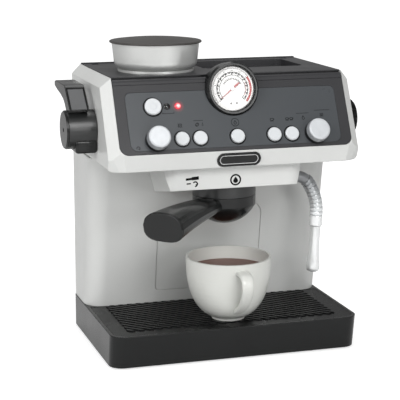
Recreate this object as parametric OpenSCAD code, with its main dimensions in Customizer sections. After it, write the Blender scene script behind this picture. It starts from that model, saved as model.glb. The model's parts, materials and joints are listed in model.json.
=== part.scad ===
// Toy coffee maker: a play espresso machine with a bean hopper, control panel,
// pressure gauge, turning portafilter, steam wand, tamping lever, drip tray and cup.
// Millimetres, +Z up, front towards -Y, standing on its rubber feet at Z = 0.

/* [Base] */
// Width of the base
base_w = 240; // [236:1:260]
// Depth of the base and of the whole body
base_d = 160; // [154:1:180]
// Height of the base above its feet
base_h = 31; // [28:1:40]
// Radius of the base's front corners
base_corner_r = 13; // [9:0.5:15]
// Lean of the base's front, in degrees from upright
base_lean = 9.7; // [4:0.1:12]
// Height of the rubber feet under the base
foot_h = 1.5; // [1:0.25:4]
// Radius of a rubber foot
foot_r = 8; // [6:0.5:10]
// Distance of a foot from the middle, along the width
foot_x = 75; // [60:1:80]
// Wall of every moulded shell
wall = 2.4; // [2:0.1:2.8]

/* [Drip tray plate] */
// Width of the base's rim round the plate
rim_w = 3.2; // [2.6:0.2:5]
// Thickness of the plate
plate_t = 2.2; // [1.8:0.1:3]
// Width of the plain margin beside the ribs
rib_margin = 15; // [10:1:25]
// Distance from one rib to the next
rib_pitch = 6.2; // [5:0.2:9]
// Width of a rib
rib_w = 2.6; // [1.6:0.2:4]
// Height of a rib above the plate
rib_h = 1; // [0.6:0.1:1.6]
// Turn of the ribs from the width, in degrees
rib_turn = -45; // [-60:1:-30]

/* [Column] */
// Width of the column and of the head
body_w = 239; // [236:1:239]
// Distance from the base's front to the column, at the foot of the column
column_y = 104.8; // [98:0.2:108]
// Forward lean of the column's front, in degrees
column_lean = 10; // [6:0.5:12]
// Radius of the column's front corners
column_r = 18; // [10:0.5:22]
// Depth of the back cover
back_depth = 22; // [18:1:24]
// Width of the splash panel
splash_w = 104; // [80:1:120]
// Height of the splash panel
splash_h = 86; // [60:1:92]
// Height of the splash panel's foot above the base
splash_z = 12.5; // [8:0.5:20]
// Radius of the splash panel's upper corners
splash_r = 11; // [6:0.5:20]
// Depth of the splash panel's seat
splash_t = 1.2; // [0.8:0.1:1.4]

/* [Head] */
// Height of the head's underside above the table
head_z = 182; // [176:1:190]
// Height of the head
head_h = 81.2; // [78:0.2:88]
// Distance of the control panel's foot behind the base's front
fascia_y = 2.1; // [0:0.1:6]
// Height of the light chin under the control panel
chin_h = 16; // [14:0.5:18]
// Slope of the control panel, in degrees from upright
fascia_lean = 26.4; // [22:0.1:30]
// Width of the control panel and of the top cover
fascia_w = 220; // [214:1:224]
// Radius of the control panel's lower corners
fascia_r = 8; // [4:0.5:12]
// Thickness of the control panel and of the top cover
fascia_t = 3.2; // [2.6:0.1:3.6]
// Depth of the slanted edge beside the control panel
bevel_d = 11; // [8:0.5:13]
// Radius of the head's lower side edges
head_r = 4; // [3.5:0.5:8]
// How far the chin's lower edge sits back
chin_back = 2.9; // [1:0.1:5]
// Length of the top cover's lip down the slope
lip = 7.8; // [6:0.2:10]
// Radius of the rolled lip at the top of the slope
roll_r = 4; // [3:0.5:4.5]
// How far the rolled lip lies below the top
lip_drop = 2.2; // [1.6:0.1:2.4]

/* [Cup warmer on the top cover] */
// Width of the recess
warmer_w = 104; // [80:1:110]
// Length of the recess
warmer_d = 68; // [50:1:70]
// Depth of the recess
warmer_h = 6.5; // [4:0.5:8]
// Distance of the recess's centre from the middle, along the width
warmer_x = 41; // [38:1:44]
// Distance of the recess's centre behind the base's front
warmer_y = 112; // [110:1:114]

/* [Hopper] */
// Distance of the hopper's axis left of the middle
hopper_x = 56; // [52:1:58]
// Distance of the hopper's axis behind the base's front
hopper_y = 82; // [80:1:92]
// Radius of the hopper's rim
hopper_r = 40.8; // [38:0.2:44]
// Height of the hopper
hopper_h = 26.2; // [22:0.2:34]
// Radius of the hopper's foot
hopper_foot_r = 35.4; // [32:0.2:37]
// Wall of the hopper
hopper_wall = 2; // [1.6:0.1:2.6]
// How far the lid's rim stands out past the hopper
lid_over = 2.2; // [2:0.2:5]
// Thickness of the lid's rim
lid_t = 1.8; // [1.4:0.1:3]
// Height of the lid's dome above its rim
lid_dome = 3; // [2:0.5:6]

/* [Pressure gauge] */
// Radius of the gauge's case
gauge_r = 24.5; // [22:0.5:26]
// Length of the gauge's case
gauge_l = 18; // [16:0.5:20]
// Radius of the gauge's dial
dial_r = 19.9; // [17:0.1:20.5]
// Distance of the gauge's front behind the base's front
gauge_y = 20.1; // [18:0.1:22]
// Height of the gauge's centre above the head's underside
gauge_up = 69.4; // [67:0.1:71]
// Upward tilt of the gauge, in degrees
gauge_tilt = 9.7; // [6:0.1:14]

/* [Buttons and knobs] */
// Radius of the power button
power_r = 7.7; // [6:0.1:9]
// Radius of a small button
button_r = 6.4; // [5:0.1:7]
// Height of a button above the panel
button_h = 2.6; // [2:0.1:4]
// Travel of a button
button_travel = 1.5; // [1:0.1:1.8]
// Distance of the row of buttons up the slope
row_s = 12.8; // [12:0.1:14]
// Distance of the power button up the slope
power_s = 43.8; // [42:0.1:46]
// Radius of a knob
knob_r = 10.3; // [8:0.1:11]
// Height of a knob
knob_h = 12; // [8:0.5:15]
// Distance of a knob from the middle
knob_x = 75.5; // [72:0.5:80]
// Radius of a knob's shaft
shaft_r = 3; // [2.5:0.1:3.5]
// Radius of a lamp's lens
led_r = 3; // [2.5:0.1:3.4]

/* [Brow and group head] */
// Height of the brow block
brow_h = 21; // [20.5:0.5:24]
// Distance of the brow's front behind the base's front
brow_y = 14; // [10:0.5:16]
// Width of the brow at the head's underside
brow_w = 135.4; // [126:0.2:140]
// Radius of the brow's front corners
brow_r = 14; // [8:0.5:16]
// How much each side of the brow draws in for each millimetre down
brow_draft = 0.31; // [0.1:0.01:0.4]
// Fall of the brow's underside from its front towards the column, in degrees
brow_fall = 11; // [6:0.5:12]
// Distance of the group's axis behind the base's front
group_y = 47; // [46:0.5:50]
// Radius of the group head
group_r = 29.6; // [27:0.2:31]
// Height of the group head's collar
group_h = 11; // [10:0.5:14]
// Height of the portafilter's ring
ring_h = 9.4; // [8:0.2:12]
// Height of the portafilter's bowl under its ring
bowl_h = 18.5; // [12:0.5:21]
// Radius of the portafilter's neck
neck_r = 20; // [18:0.5:22]
// Reach of the portafilter's handle from the group's axis
handle_l = 107; // [96:1:112]
// Turn of the handle to the left of the front, in degrees
handle_turn = 48.4; // [40:0.2:52]
// Width of the handle at its end
handle_w = 42; // [34:1:46]
// Height of the handle at its end
handle_t = 26; // [22:0.5:30]

/* [Steam wand] */
// Distance of the wand's axis behind the base's front
wand_y = 50; // [42:0.5:54]
// Height of the wand's swivel under the head
wand_drop = 21; // [19:0.1:21.2]
// Straight stretch of the wand between the brow's side and the bend
wand_reach = 11.5; // [8:0.5:16]
// Radius of the wand's tube
wand_r = 5.6; // [5:0.1:5.8]
// Radius of the elbow's bend
elbow_r = 16; // [12:0.5:18]
// Turn of the elbow, in degrees
elbow_turn = 63; // [50:1:70]
// Length of the elbow's straight end
elbow_l = 2; // [1.5:0.1:9]
// Length of the sleeve's straight top
sleeve_top = 3; // [2.4:0.1:6]
// Radius of the sleeve's bend
sleeve_r = 60; // [50:1:66]
// Turn of the sleeve, in degrees
sleeve_turn = 30; // [26:1:34]
// Length of the sleeve's straight foot
sleeve_foot = 2.4; // [1.6:0.2:4]
// Number of ribs on the sleeve
rib_n = 7; // [5:1:8]
// Length of the pipe with its collar
pipe_l = 55.5; // [52:0.5:60]

/* [Side lever and steam knob] */
// Distance of the side axles behind the base's front
axle_y = 66; // [62:1:74]
// Height of the side axles above the head's underside
axle_up = 31.4; // [28:0.2:36]
// Radius of the side axles
axle_r = 5; // [4:0.1:6]
// Radius of the lever's hub
hub_r = 17.8; // [16:0.2:18.6]
// Length of the lever's hub
hub_l = 28; // [24:0.5:34]
// Radius of the steam knob
steam_r = 17.5; // [14:0.5:18.5]
// Length of the steam knob
steam_l = 15.7; // [12:0.1:20]
// Width of the lever's arm
arm_w = 18.5; // [14:0.5:20]

/* [Cup] */
// Radius of the cup's rim
cup_r = 40; // [34:0.5:41]
// Height of the cup
cup_h = 59.5; // [52:0.5:64]
// Radius of the cup's foot
cup_foot_r = 15.6; // [13:0.2:18]
// Wall of the cup
cup_wall = 2.2; // [1.8:0.1:3]
// Distance of the cup's axis behind the base's front
cup_y = 33; // [30:0.5:46]
// Width of the cup's handle strap
strap_w = 12.5; // [10:0.5:16]
// Thickness of the cup's handle strap
strap_t = 4.6; // [4:0.2:6]
// Reach of the cup's handle past the rim
strap_out = 20; // [17:0.5:24]

/* [Fits] */
// Gap between pieces that part or slide past each other
gap = 0.3; // [0.25:0.05:0.4]
// Gap between a shaft and its bore
run_gap = 0.05; // [0.03:0.01:0.08]

/* [Hidden] */

$fn = 64;
// Reach of a cutting block: longer than the whole machine
far = 400;
// Overshoot of a cut past the face that it opens
cut = 1;

// Heights of the main levels above the table
base_top = foot_h + base_h;
head_top = head_z + head_h;
fascia_z = head_z + chin_h;
brow_z = head_z - brow_h;
group_z = brow_z - group_h;
ring_z = group_z - gap - ring_h;
bowl_z = ring_z - bowl_h;
wand_z = head_z - wand_drop;
axle_z = head_z + axle_up;
gauge_z = head_z + gauge_up;
// The wand's stub: its length inside the brow, and where it leaves the brow's side
stub_l = 14;
wand_x = brow_w / 2 - wand_drop * brow_draft + wand_reach;
// Back face of the body, and the plane where the back cover begins
back_y = base_d;
split_y = base_d - back_depth;
back_r = 2.5;
// Length of the slope from the chin to the top face, and where the panel ends on it
slope_l = (head_top - fascia_z) / cos(fascia_lean);
panel_l = slope_l - lip;
slope_top_y = fascia_y + slope_l * sin(fascia_lean);
// Width of the slanted edge beside the panel
bevel_w = (body_w - fascia_w) / 2;
// Depth of the pocket for the drip plate, whose face is level with the rim
pocket_h = plate_t + rib_h * 0.2;
plate_back = column_y - gap;
// The rest face of the cup, on top of the ribs
cup_z = base_top - pocket_h + plate_t + rib_h;
// Seats behind the panel
board_n = 12;
board_t = 1.6;
board_w = fascia_w - 40;
// Width of the cable way from the head down into the column
cable_w = 80;
// The badge plate: its width, height, corner radius and rim
badge_w = 41;
badge_h = 12;
badge_r = 5.9;
badge_rim = 1.3;
flange_t = 1;
plunger_l = 2.4;
led_x = [-62.4, -52.3];
button_x = [-52.2, -35.2, 0, 35.2, 52.2];
ledge = 4;
screw_r = 1.4;
screw_head_r = 2.9;
boss_r = 3.6;
// Where the body's screws stand: distance from the middle, height above the base or the head
column_screw_x = body_w / 2 - 9.5;
head_screw_x = body_w / 2 - 13.5;
column_screws = [[column_screw_x, 24], [column_screw_x, 118]];
head_screws = [[head_screw_x, 17], [head_screw_x, 60]];
base_screw_x = base_w / 2 - 12;
base_screw_y = [24, base_d - 18];
// Length of the screw posts in the column and in the head
column_post_l = 18;
head_post_l = 22;
// Speaker and its grille in the back cover
speaker_r = 14;
speaker_h = 7;
speaker_z = base_top + 62;
// Battery box for three AA cells
cell_r = 7.25;
cell_l = 50.5;
box_wall = 1.8;
box_x = cell_l + 2 * box_wall + 3;
box_d = 6 * cell_r + 2 * box_wall + 1.5;
// Space between the battery box and the back of the base
box_back = 7.4;
box_y = base_d - box_d - box_back;
door_screw_y = box_y + box_wall / 2 + 0.2;
box_h = 2 * cell_r + box_wall + 0.6;
// Outermost points of the machine, and the shift that brings its middle over the origin
reach_left = body_w / 2 + gap + hub_l;
reach_right = body_w / 2 + gap + steam_l;
// The handle's end cap: its length, its rounded edge and its width as a share of the handle's
cap_l = 2;
cap_edge = 0.6;
cap_scale = 0.985;
reach_front = group_y - (handle_l - cap_edge) * cos(handle_turn)
    - handle_w * cap_scale / 2 * sin(handle_turn);
shift = [(reach_left - reach_right) / 2, -(back_y + reach_front) / 2, 0];

// Finishes
stone = "#d7d6d1";
graphite = "#4b4c4e";
slate = "#5d6063";
black = "#1c1c1d";
silver = "#c3c4c5";
white = "#eeeeec";
green = "#2f6b45";
steel = "#9b9c9e";

module in_frame() translate(shift) children();
module on_fascia() translate([0, fascia_y, fascia_z]) rotate([90 - fascia_lean, 0, 0]) children();
module on_gauge() translate([0, gauge_y, gauge_z]) rotate([90 - gauge_tilt, 0, 0]) children();
module on_column() translate([0, column_y, base_top]) rotate([90 + column_lean, 0, 0]) children();
module on_chin() translate([0, fascia_y, fascia_z]) rotate([90 + chin_lean(), 0, 0]) children();
function chin_lean() = atan(chin_back / chin_h);

// A rounded rectangle centred on the origin, with round corners that stay true arcs
module rounded(w, d, r) {
    square([w - 2 * r, d], center = true);
    square([w, d - 2 * r], center = true);
    for (x = [-1, 1], y = [-1, 1]) translate([x * (w / 2 - r), y * (d / 2 - r)]) circle(r);
}

// A plate outline that starts at y = 0, with one radius below and one above
module plate_outline(w, h, low_r, high_r) {
    translate([-w / 2, low_r]) square([w, h - low_r - high_r]);
    translate([-w / 2 + low_r, 0]) square([w - 2 * low_r, low_r]);
    translate([-w / 2 + high_r, h - high_r]) square([w - 2 * high_r, high_r]);
    for (x = [-1, 1]) {
        translate([x * (w / 2 - low_r), low_r]) circle(low_r);
        translate([x * (w / 2 - high_r), h - high_r]) circle(high_r);
    }
}

// A side profile in Y and Z, drawn across the width
module across(w) translate([w / 2, 0, 0]) rotate([0, -90, 0]) rotate([0, 0, -90])
    mirror([1, 0, 0]) rotate([0, 0, 0]) linear_extrude(w) children();

// Everything beyond a plane through point p with normal n
module beyond(p, n) {
    translate(p) rotate([0, acos(n[2] / norm(n)), atan2(n[1], n[0])])
        translate([-far / 2, -far / 2, 0]) cube(far);
}

// A skin lofted through rings of points, closed at both ends
module loft(rings) {
    n = len(rings[0]);
    m = len(rings);
    points = [for (ring = rings) for (p = ring) p];
    sides = [for (i = [0:m - 2], j = [0:n - 1]) each [
        [i * n + j, (i + 1) * n + (j + 1) % n, i * n + (j + 1) % n],
        [i * n + j, (i + 1) * n + j, (i + 1) * n + (j + 1) % n]]];
    ends = [[for (j = [0:n - 1]) j], [for (j = [n - 1:-1:0]) (m - 1) * n + j]];
    polyhedron(points, concat(sides, ends), convexity = 4);
}

// ---------------------------------------------------------------- base

// The base's outer form, drawn in by an inset all round; its top stays at the full height
module base_outline(inset) translate([0, inset]) intersection() {
    plate_outline(base_w - 2 * inset, far, base_corner_r - inset, 1);
    translate([0, base_d - 2 * inset]) mirror([0, 1])
        plate_outline(base_w - 2 * inset, far, back_r, 1);
}
module base_form(inset) intersection() {
    translate([0, 0, foot_h]) linear_extrude(base_h) base_outline(inset);
    translate([0, 0, base_top]) rotate([base_lean, 0, 0]) translate([0, 0, -2 * base_h])
        linear_extrude(3 * base_h) base_outline(inset);
}

// The plate's front edge stays clear of the rim while the plate rises along the leaning column
front_gap = 0.6;
module plate_form(clear) {
    r = base_corner_r - rim_w + clear;
    translate([0, rim_w + (clear > 0 ? 0 : front_gap), 0]) linear_extrude(far)
        plate_outline(base_w - 2 * rim_w - 2 * gap + 2 * clear, far, r, r);
}

module base_boss(x, y, r, from, to) translate([x, y, from]) cylinder(r = r, h = to - from);

module base_shell() color(black) in_frame() {
    floor_z = base_top - pocket_h;
    difference() {
        base_form(0);
        intersection() {
            base_form(wall);
            translate([-far / 2, -far / 2, -far]) cube([far, far, far + floor_z - wall]);
        }
        intersection() {
            translate([0, 0, floor_z]) plate_form(gap);
            translate([-far / 2, -cut, 0]) cube([far, plate_back + cut + gap, far]);
        }
    }
    for (x = [-1, 1], y = base_screw_y) difference() {
        base_boss(x * base_screw_x, y, boss_r, foot_h + wall, floor_z - wall);
        base_boss(x * base_screw_x, y, screw_r, foot_h, foot_h + wall + 9);
    }
}

module base_bottom() color(black) in_frame() difference() {
    intersection() {
        base_form(wall + gap);
        translate([-far / 2, -far / 2, 0]) cube([far, far, foot_h + wall]);
    }
    for (x = [-1, 1], y = base_screw_y) {
        base_boss(x * base_screw_x, y, screw_r, 0, base_top);
        base_boss(x * base_screw_x, y, screw_head_r + 0.1, 0, foot_h + 1.2);
    }
    for (x = [-1, 1], y = [foot_y(), base_d - foot_y()])
        translate([x * foot_x, y, 0]) cylinder(r = foot_r + 0.1, h = foot_h + 0.5);
    translate([-(box_x + 2) / 2, box_y - 1, 0]) cube([box_x + 2, box_d + 2, far]);
    // the door screw's head stands half in the bottom's edge
    translate([0, door_screw_y, 0]) cylinder(r = screw_head_r, h = foot_h + wall + 1);
}
function foot_y() = foot_r + wall + gap + foot_r * 0.4 + base_h * tan(base_lean) / 2;

module rubber_feet() color("#2b2b2b") in_frame()
    for (x = [-1, 1], y = [foot_y(), base_d - foot_y()]) translate([x * foot_x, y, 0]) {
        cylinder(r = foot_r - 0.6, h = foot_h + 0.5);
        translate([0, 0, 0.5]) cylinder(r = foot_r, h = foot_h);
    }

module drip_plate() color(black) in_frame() {
    floor_z = base_top - pocket_h;
    field_w = base_w - 2 * rim_w - 2 * rib_margin;
    field_y = rim_w + rib_margin - 2;
    field_d = plate_back - field_y - 1;
    translate([0, 0, floor_z]) intersection() {
        plate_form(0);
        translate([-far / 2, 0, 0]) cube([far, plate_back - 0.2, plate_t]);
    }
    translate([0, 0, floor_z + plate_t]) linear_extrude(rib_h) intersection() {
        translate([-field_w / 2, field_y]) square([field_w, field_d]);
        translate([0, field_y + field_d / 2]) rotate(rib_turn)
            for (i = [-ceil(far / 3 / rib_pitch):ceil(far / 3 / rib_pitch)])
                translate([-far / 2, i * rib_pitch - rib_w / 2]) square([far, rib_w]);
    }
}

// ---------------------------------------------------------------- column and back

module column_form(inset) intersection() {
    translate([0, column_y, base_top]) rotate([column_lean, 0, 0]) translate([0, inset, -far / 4])
        linear_extrude(far) plate_outline(body_w - 2 * inset, far, column_r - inset, 1);
    translate([-far / 2, -far / 2, base_top]) cube([far, far / 2 + split_y, head_z - base_top]);
}

module splash_outline(clear) translate([0, splash_z - clear])
    plate_outline(splash_w + 2 * clear, splash_h + 2 * clear, 4, splash_r);

module column_front() color(stone) in_frame() {
    difference() {
        column_form(0);
        difference() {
            translate([0, 0, 0]) intersection() {
                translate([0, column_y, base_top]) rotate([column_lean, 0, 0])
                    translate([0, wall, -far / 4]) linear_extrude(far)
                    plate_outline(body_w - 2 * wall, far, column_r - wall, 1);
                translate([-far / 2, -far / 2, 0]) cube([far, far, far]);
            }
        }
        on_column() translate([0, 0, -splash_t]) linear_extrude(far) splash_outline(gap);
    }
    for (x = [-1, 1], s = column_screws) difference() {
        union() {
            body_post(x * s[0], base_top + s[1], boss_r, split_y - column_post_l, split_y);
            translate([x > 0 ? s[0] : -body_w / 2 + wall - 0.4, split_y - column_post_l,
                base_top + s[1] - 1]) cube([body_w / 2 - wall + 0.4 - s[0], column_post_l, 2]);
        }
        body_post(x * s[0], base_top + s[1], screw_r, split_y - 13, split_y + cut);
    }
}

// A round post or hole that runs along the depth
module body_post(x, z, r, from, to) translate([x, from, z]) rotate([-90, 0, 0])
    cylinder(r = r, h = to - from);

module splash_panel() color(stone) in_frame() on_column() translate([0, 0, -splash_t])
    linear_extrude(splash_t - 0.3) splash_outline(0);

// Outline of the body seen from the front, from a given height up
module body_front(inset, from, low_r) {
    w = body_w / 2 - inset;
    top = head_top - inset;
    c = bevel_w - inset * 0.4;
    difference() {
        union() {
            polygon([[-w, from + low_r], [-w, top - c], [-w + c, top], [w - c, top], [w, top - c],
                [w, from + low_r]]);
            translate([-w + low_r, from]) square([2 * (w - low_r), low_r + cut]);
            for (x = [-1, 1]) translate([x * (w - low_r), from + low_r]) circle(low_r);
        }
    }
}

module front_outline_prism(inset, from, low_r, y0, y1)
    translate([0, y1, 0]) rotate([90, 0, 0]) linear_extrude(y1 - y0)
    body_front(inset, from, low_r);

module back_cover() color(stone) in_frame() {
    difference() {
        intersection() {
            front_outline_prism(0, base_top, 0.01, split_y, back_y);
            translate([0, back_y, 0]) mirror([0, 1, 0]) linear_extrude(far)
                plate_outline(body_w, far, back_r, 1);
        }
        intersection() {
            front_outline_prism(wall, base_top + wall, 0.01, split_y - cut, back_y - wall);
            translate([0, back_y - wall, 0]) mirror([0, 1, 0]) linear_extrude(far)
                plate_outline(body_w - 2 * wall, far, 0.5, 1);
        }
        top_seat(gap);
        top_way();
        for (a = [0:4], i = [0:a == 0 ? 0 : 6 * a - 1]) translate([0, back_y - wall - cut, speaker_z])
            rotate([-90, i * 60 / max(a, 1), 0]) translate([a * 2.6, 0, 0])
            cylinder(r = 0.8, h = wall + 2 * cut, $fn = 16);
        for (x = [-1, 1], s = screw_places()) {
            body_post(x * s[0], s[1], screw_r, split_y - cut, far);
            body_post(x * s[0], s[1], screw_head_r + 0.2, back_y - 6, far);
        }
        for (x = [-1, 1]) translate([x * 60, back_y - wall - cut, head_top - 18])
            for (i = [0:4]) translate([-14, 0, -i * 5]) cube([28, wall + 2 * cut, 2]);
    }
    for (x = [-1, 1], s = screw_places()) difference() {
        body_post(x * s[0], s[1], screw_head_r + 2, split_y, back_y - wall);
        body_post(x * s[0], s[1], screw_r, split_y - cut, far);
        body_post(x * s[0], s[1], screw_head_r + 0.2, back_y - 6, far);
    }
    translate([0, back_y - wall - 3, speaker_z]) rotate([-90, 0, 0]) difference() {
        cylinder(r = speaker_r + 2, h = 3);
        translate([0, 0, -cut]) cylinder(r = speaker_r + 0.1, h = 3 + 2 * cut);
    }
}
function screw_places() = concat([for (s = column_screws) [s[0], base_top + s[1]]],
    [for (s = head_screws) [s[0], head_z + s[1]]]);

// ---------------------------------------------------------------- head

// A point at distance s up the slope and n into the head, as [y, z]
function slope_point(s, n) = [fascia_y + s * sin(fascia_lean) + n * cos(fascia_lean),
    fascia_z + s * cos(fascia_lean) - n * sin(fascia_lean)];

// Side profile of the head behind its slope, a depth n inside it
module head_profile(n, top) polygon([
    [fascia_y + chin_back + n, head_z + n * 0.4],
    slope_point((n == 0 ? 0 : -n * 0.2), n),
    slope_point(slope_l + n * tan(fascia_lean) - top / cos(fascia_lean), n),
    [split_y, head_top - top],
    [split_y, head_z + n * 0.4]]);

module across_profile(w) rotate([90, 0, 90]) translate([0, 0, -w / 2]) linear_extrude(w) children();

module head_form() difference() {
    intersection() {
        across_profile(body_w) head_profile(0, 0);
        front_outline_prism(0, head_z, head_r, -far / 4, split_y);
    }
    for (x = [-1, 1]) {
        // the slanted edge beside the panel, which runs on down to the lower corner
        beyond([x * fascia_w / 2, fascia_y, fascia_z],
            [x * bevel_d * cos(fascia_lean), -bevel_w * cos(fascia_lean), bevel_w * sin(fascia_lean)]);
        // the chin's turned end and its cut lower corner
        beyond([x * (fascia_w / 2 - 3), fascia_y, fascia_z], [x * 0.399, -0.893, -0.212]);
        beyond([x * (fascia_w / 2 - 1.7), fascia_y + chin_back + 1, head_z], [x * 0.556, -0.778, -0.289]);
    }
}

// The seat of the top cover, and the opening under it
module top_seat(clear) {
    translate([-fascia_w / 2 - clear, slope_top_y - 2, head_top - fascia_t])
        cube([fascia_w + 2 * clear, far, far]);
    translate([-fascia_w / 2 - clear, slope_top_y - 3, head_top - fascia_t - 2 - gap])
        cube([fascia_w + 2 * clear, 16 + gap, far]);
}
module top_way() translate([-fascia_w / 2 + ledge + 1, slope_top_y + 4, head_top - 14])
    cube([fascia_w - 2 * ledge - 2, back_y - wall - slope_top_y - 8, far]);

module head_housing() color(stone) in_frame() {
    difference() {
        head_form();
        // the hollow, narrow behind the slanted edges and wide further in
        across_profile(fascia_w - 2 * ledge - 1) head_profile(fascia_t + wall, fascia_t + wall);
        intersection() {
            across_profile(body_w - 6) head_profile(bevel_d + ledge, bevel_w + ledge);
            front_outline_prism(3, head_z + 3, head_r - 3 + 0.01, -far / 4, split_y + cut);
        }
        // the seat of the panel and the way in behind it
        on_fascia() translate([0, 0, -fascia_t]) linear_extrude(far)
            translate([0, -gap]) plate_outline(fascia_w + 2 * gap, slope_l + 20, fascia_r, 1);
        on_fascia() translate([0, ledge, -fascia_t - wall - cut]) linear_extrude(far)
            plate_outline(fascia_w - 2 * ledge, slope_l + 20, 3, 1);
        top_seat(gap + 0.1);
        top_way();
        // bores for the side axles
        for (x = [-1, 1]) translate([x * (body_w / 2 - 8), axle_y, axle_z]) rotate([0, x * 90, 0])
            cylinder(r = axle_r + run_gap, h = 20);
        // cable way down into the column
        translate([-cable_w / 2, column_y + 4, head_z - cut]) cube([cable_w, 20, 12]);
        // the screws' way, where a wide slanted edge leaves the head solid
        for (x = [-1, 1], s = head_screws)
            body_post(x * s[0], head_z + s[1], screw_r, split_y - 13, split_y + cut);
        // seat of the badge
        on_chin() translate([0, -chin_h / 2 - 1, -1]) linear_extrude(far)
            rounded(badge_w + 2 * gap, badge_h + 2 * gap, badge_r + gap);
    }
    for (x = [-1, 1], s = head_screws) difference() {
        union() {
            body_post(x * s[0], head_z + s[1], boss_r, split_y - head_post_l, split_y);
            translate([x > 0 ? s[0] : -body_w / 2 + 2, split_y - head_post_l, head_z + s[1] - 1])
                cube([body_w / 2 - 2 - s[0], head_post_l, 2]);
        }
        body_post(x * s[0], head_z + s[1], screw_r, split_y - 13, split_y + cut);
    }
}

module panel_holes(clear) {
    translate([-knob_x, power_s]) circle(power_r + clear);
    for (x = button_x) translate([x, row_s]) circle(button_r + clear);
    for (x = [-1, 1]) translate([x * knob_x, row_s]) circle(shaft_r + run_gap);
    for (x = led_x) translate([x, power_s]) circle(led_r);
}

module gauge_way(clear) on_gauge() translate([0, 0, -gauge_l - clear])
    cylinder(r = gauge_r + clear, h = far);

module panel_outline(clear) {
    inset = 10;
    translate([0, 3.4 - clear]) plate_outline(fascia_w - 2 * inset + 2 * clear,
        panel_l - 10.6 + 2 * clear, 7, 5);
}

module fascia() color(graphite) in_frame() {
    difference() {
        on_fascia() translate([0, 0, -fascia_t]) linear_extrude(fascia_t) difference() {
            plate_outline(fascia_w, panel_l, fascia_r, 0.4);
            panel_holes(gap);
        }
        on_fascia() translate([0, 0, -0.8]) linear_extrude(far) panel_outline(0.15);
        gauge_way(0);
    }
    // posts for the circuit board
    on_fascia() for (p = board_posts()) translate([p[0], p[1], -board_n]) difference() {
        cylinder(r = 2.6, h = board_n - fascia_t);
        translate([0, 0, -cut]) cylinder(r = 1, h = 6 + cut);
    }
}
function board_posts() = [[-64, 22], [-18, 22], [18, 22], [64, 22]];

module control_panel() color(slate) in_frame() difference() {
    on_fascia() translate([0, 0, -0.8]) linear_extrude(0.7) difference() {
        panel_outline(0);
        panel_holes(gap);
    }
    gauge_way(gap);
}

// Outline of the top cover seen from the side: a rolled lip on the slope, an undercut groove
// behind it, and the flat top above the groove
module top_profile() {
    low = slope_point(panel_l + gap, 0);
    low_in = slope_point(panel_l + gap, fascia_t);
    in_top = head_top - fascia_t - 2;
    in_y = slope_point((in_top - fascia_z + fascia_t * sin(fascia_lean)) / cos(fascia_lean), fascia_t)[0];
    lip_top = head_top - lip_drop;
    lip_s = slope_l - lip_drop / cos(fascia_lean);
    reach = roll_r * tan((90 - fascia_lean) / 2);
    on_slope = slope_point(lip_s - reach, 0);
    corner = slope_point(lip_s, 0);
    roll = [corner[0] + reach, lip_top - roll_r];
    difference() {
        polygon([low, corner, [roll[0], lip_top], [roll[0] + 1.2, lip_top], [roll[0] + 1.2, head_top],
            [back_y, head_top], [back_y, head_top - fascia_t], [in_y + 12, head_top - fascia_t],
            [in_y + 12, in_top], [in_y, in_top], low_in]);
        difference() {
            polygon([on_slope, slope_point(lip_s + 0.01, 0), [roll[0], lip_top + 0.01], roll]);
            translate(roll) circle(roll_r);
        }
        translate([roll[0] + 0.2, lip_top - 0.8]) square([4, 2]);
    }
}

module warmer_cut(inset, depth) translate([warmer_x, warmer_y, head_top - depth])
    linear_extrude(far) rounded(warmer_w - 2 * inset, warmer_d - 2 * inset, 8 - inset);

module top_cover() color(graphite) in_frame() {
    difference() {
        union() {
            across_profile(fascia_w) top_profile();
            translate([warmer_x, warmer_y, head_top - warmer_h - 2]) linear_extrude(warmer_h + 1)
                rounded(warmer_w, warmer_d, 8);
            // low rim along the back
            translate([-fascia_w / 2, back_y - 4, head_top]) cube([fascia_w, 4, 0.8]);
        }
        warmer_cut(2, warmer_h);
        gauge_way(gap);
        // finger notches at the back corners
        for (x = [12 - fascia_w / 2, fascia_w / 2 - 14])
            translate([x - 3.5, back_y - 14, head_top - 1.6]) cube([7, 8, far]);
        // spigot hole for the hopper
        translate([-hopper_x, hopper_y, head_top - far / 2]) cylinder(r = 10, h = far);
    }
}

module badge_plate() color(black) in_frame() on_chin() translate([0, -chin_h / 2 - 1, -1])
    difference() {
        linear_extrude(2.2) rounded(badge_w, badge_h, badge_r);
        translate([0, 0, 1.6]) linear_extrude(far)
            rounded(badge_w - 2 * badge_rim, badge_h - 2 * badge_rim, badge_r - badge_rim);
    }

// ---------------------------------------------------------------- hopper

// How much narrower the hopper is above its foot than at its rim
hopper_lean = 1.8;

module hopper_bowl() color(silver) in_frame() translate([-hopper_x, hopper_y, head_top]) {
    low_r = hopper_r - hopper_lean;
    round_r = 8;
    difference() {
        rotate_extrude() {
            // bowl wall, leaning out slightly
            difference() {
                union() {
                    translate([0, 2]) square([low_r - round_r, round_r]);
                    polygon([[0, 2 + round_r], [low_r, 2 + round_r], [hopper_r, hopper_h],
                        [0, hopper_h]]);
                    intersection() {
                        translate([low_r - round_r, 2 + round_r]) circle(round_r);
                        translate([0, 2]) square([low_r, round_r]);
                    }
                }
                translate([0, 2 + hopper_wall]) {
                    square([low_r - round_r, round_r]);
                    polygon([[0, round_r - hopper_wall], [low_r - hopper_wall, round_r - hopper_wall],
                        [hopper_r - hopper_wall, hopper_h], [0, hopper_h]]);
                }
                intersection() {
                    translate([low_r - round_r, 2 + round_r]) circle(round_r - hopper_wall);
                    translate([0, 2 + hopper_wall]) square([low_r, round_r]);
                }
            }
            // foot ring and the spigot that snaps into the top cover
            square([hopper_foot_r, 2.2]);
        }
    }
    translate([0, 0, -fascia_t - 1]) cylinder(r = 10 - gap, h = fascia_t + 2);
}

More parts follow.
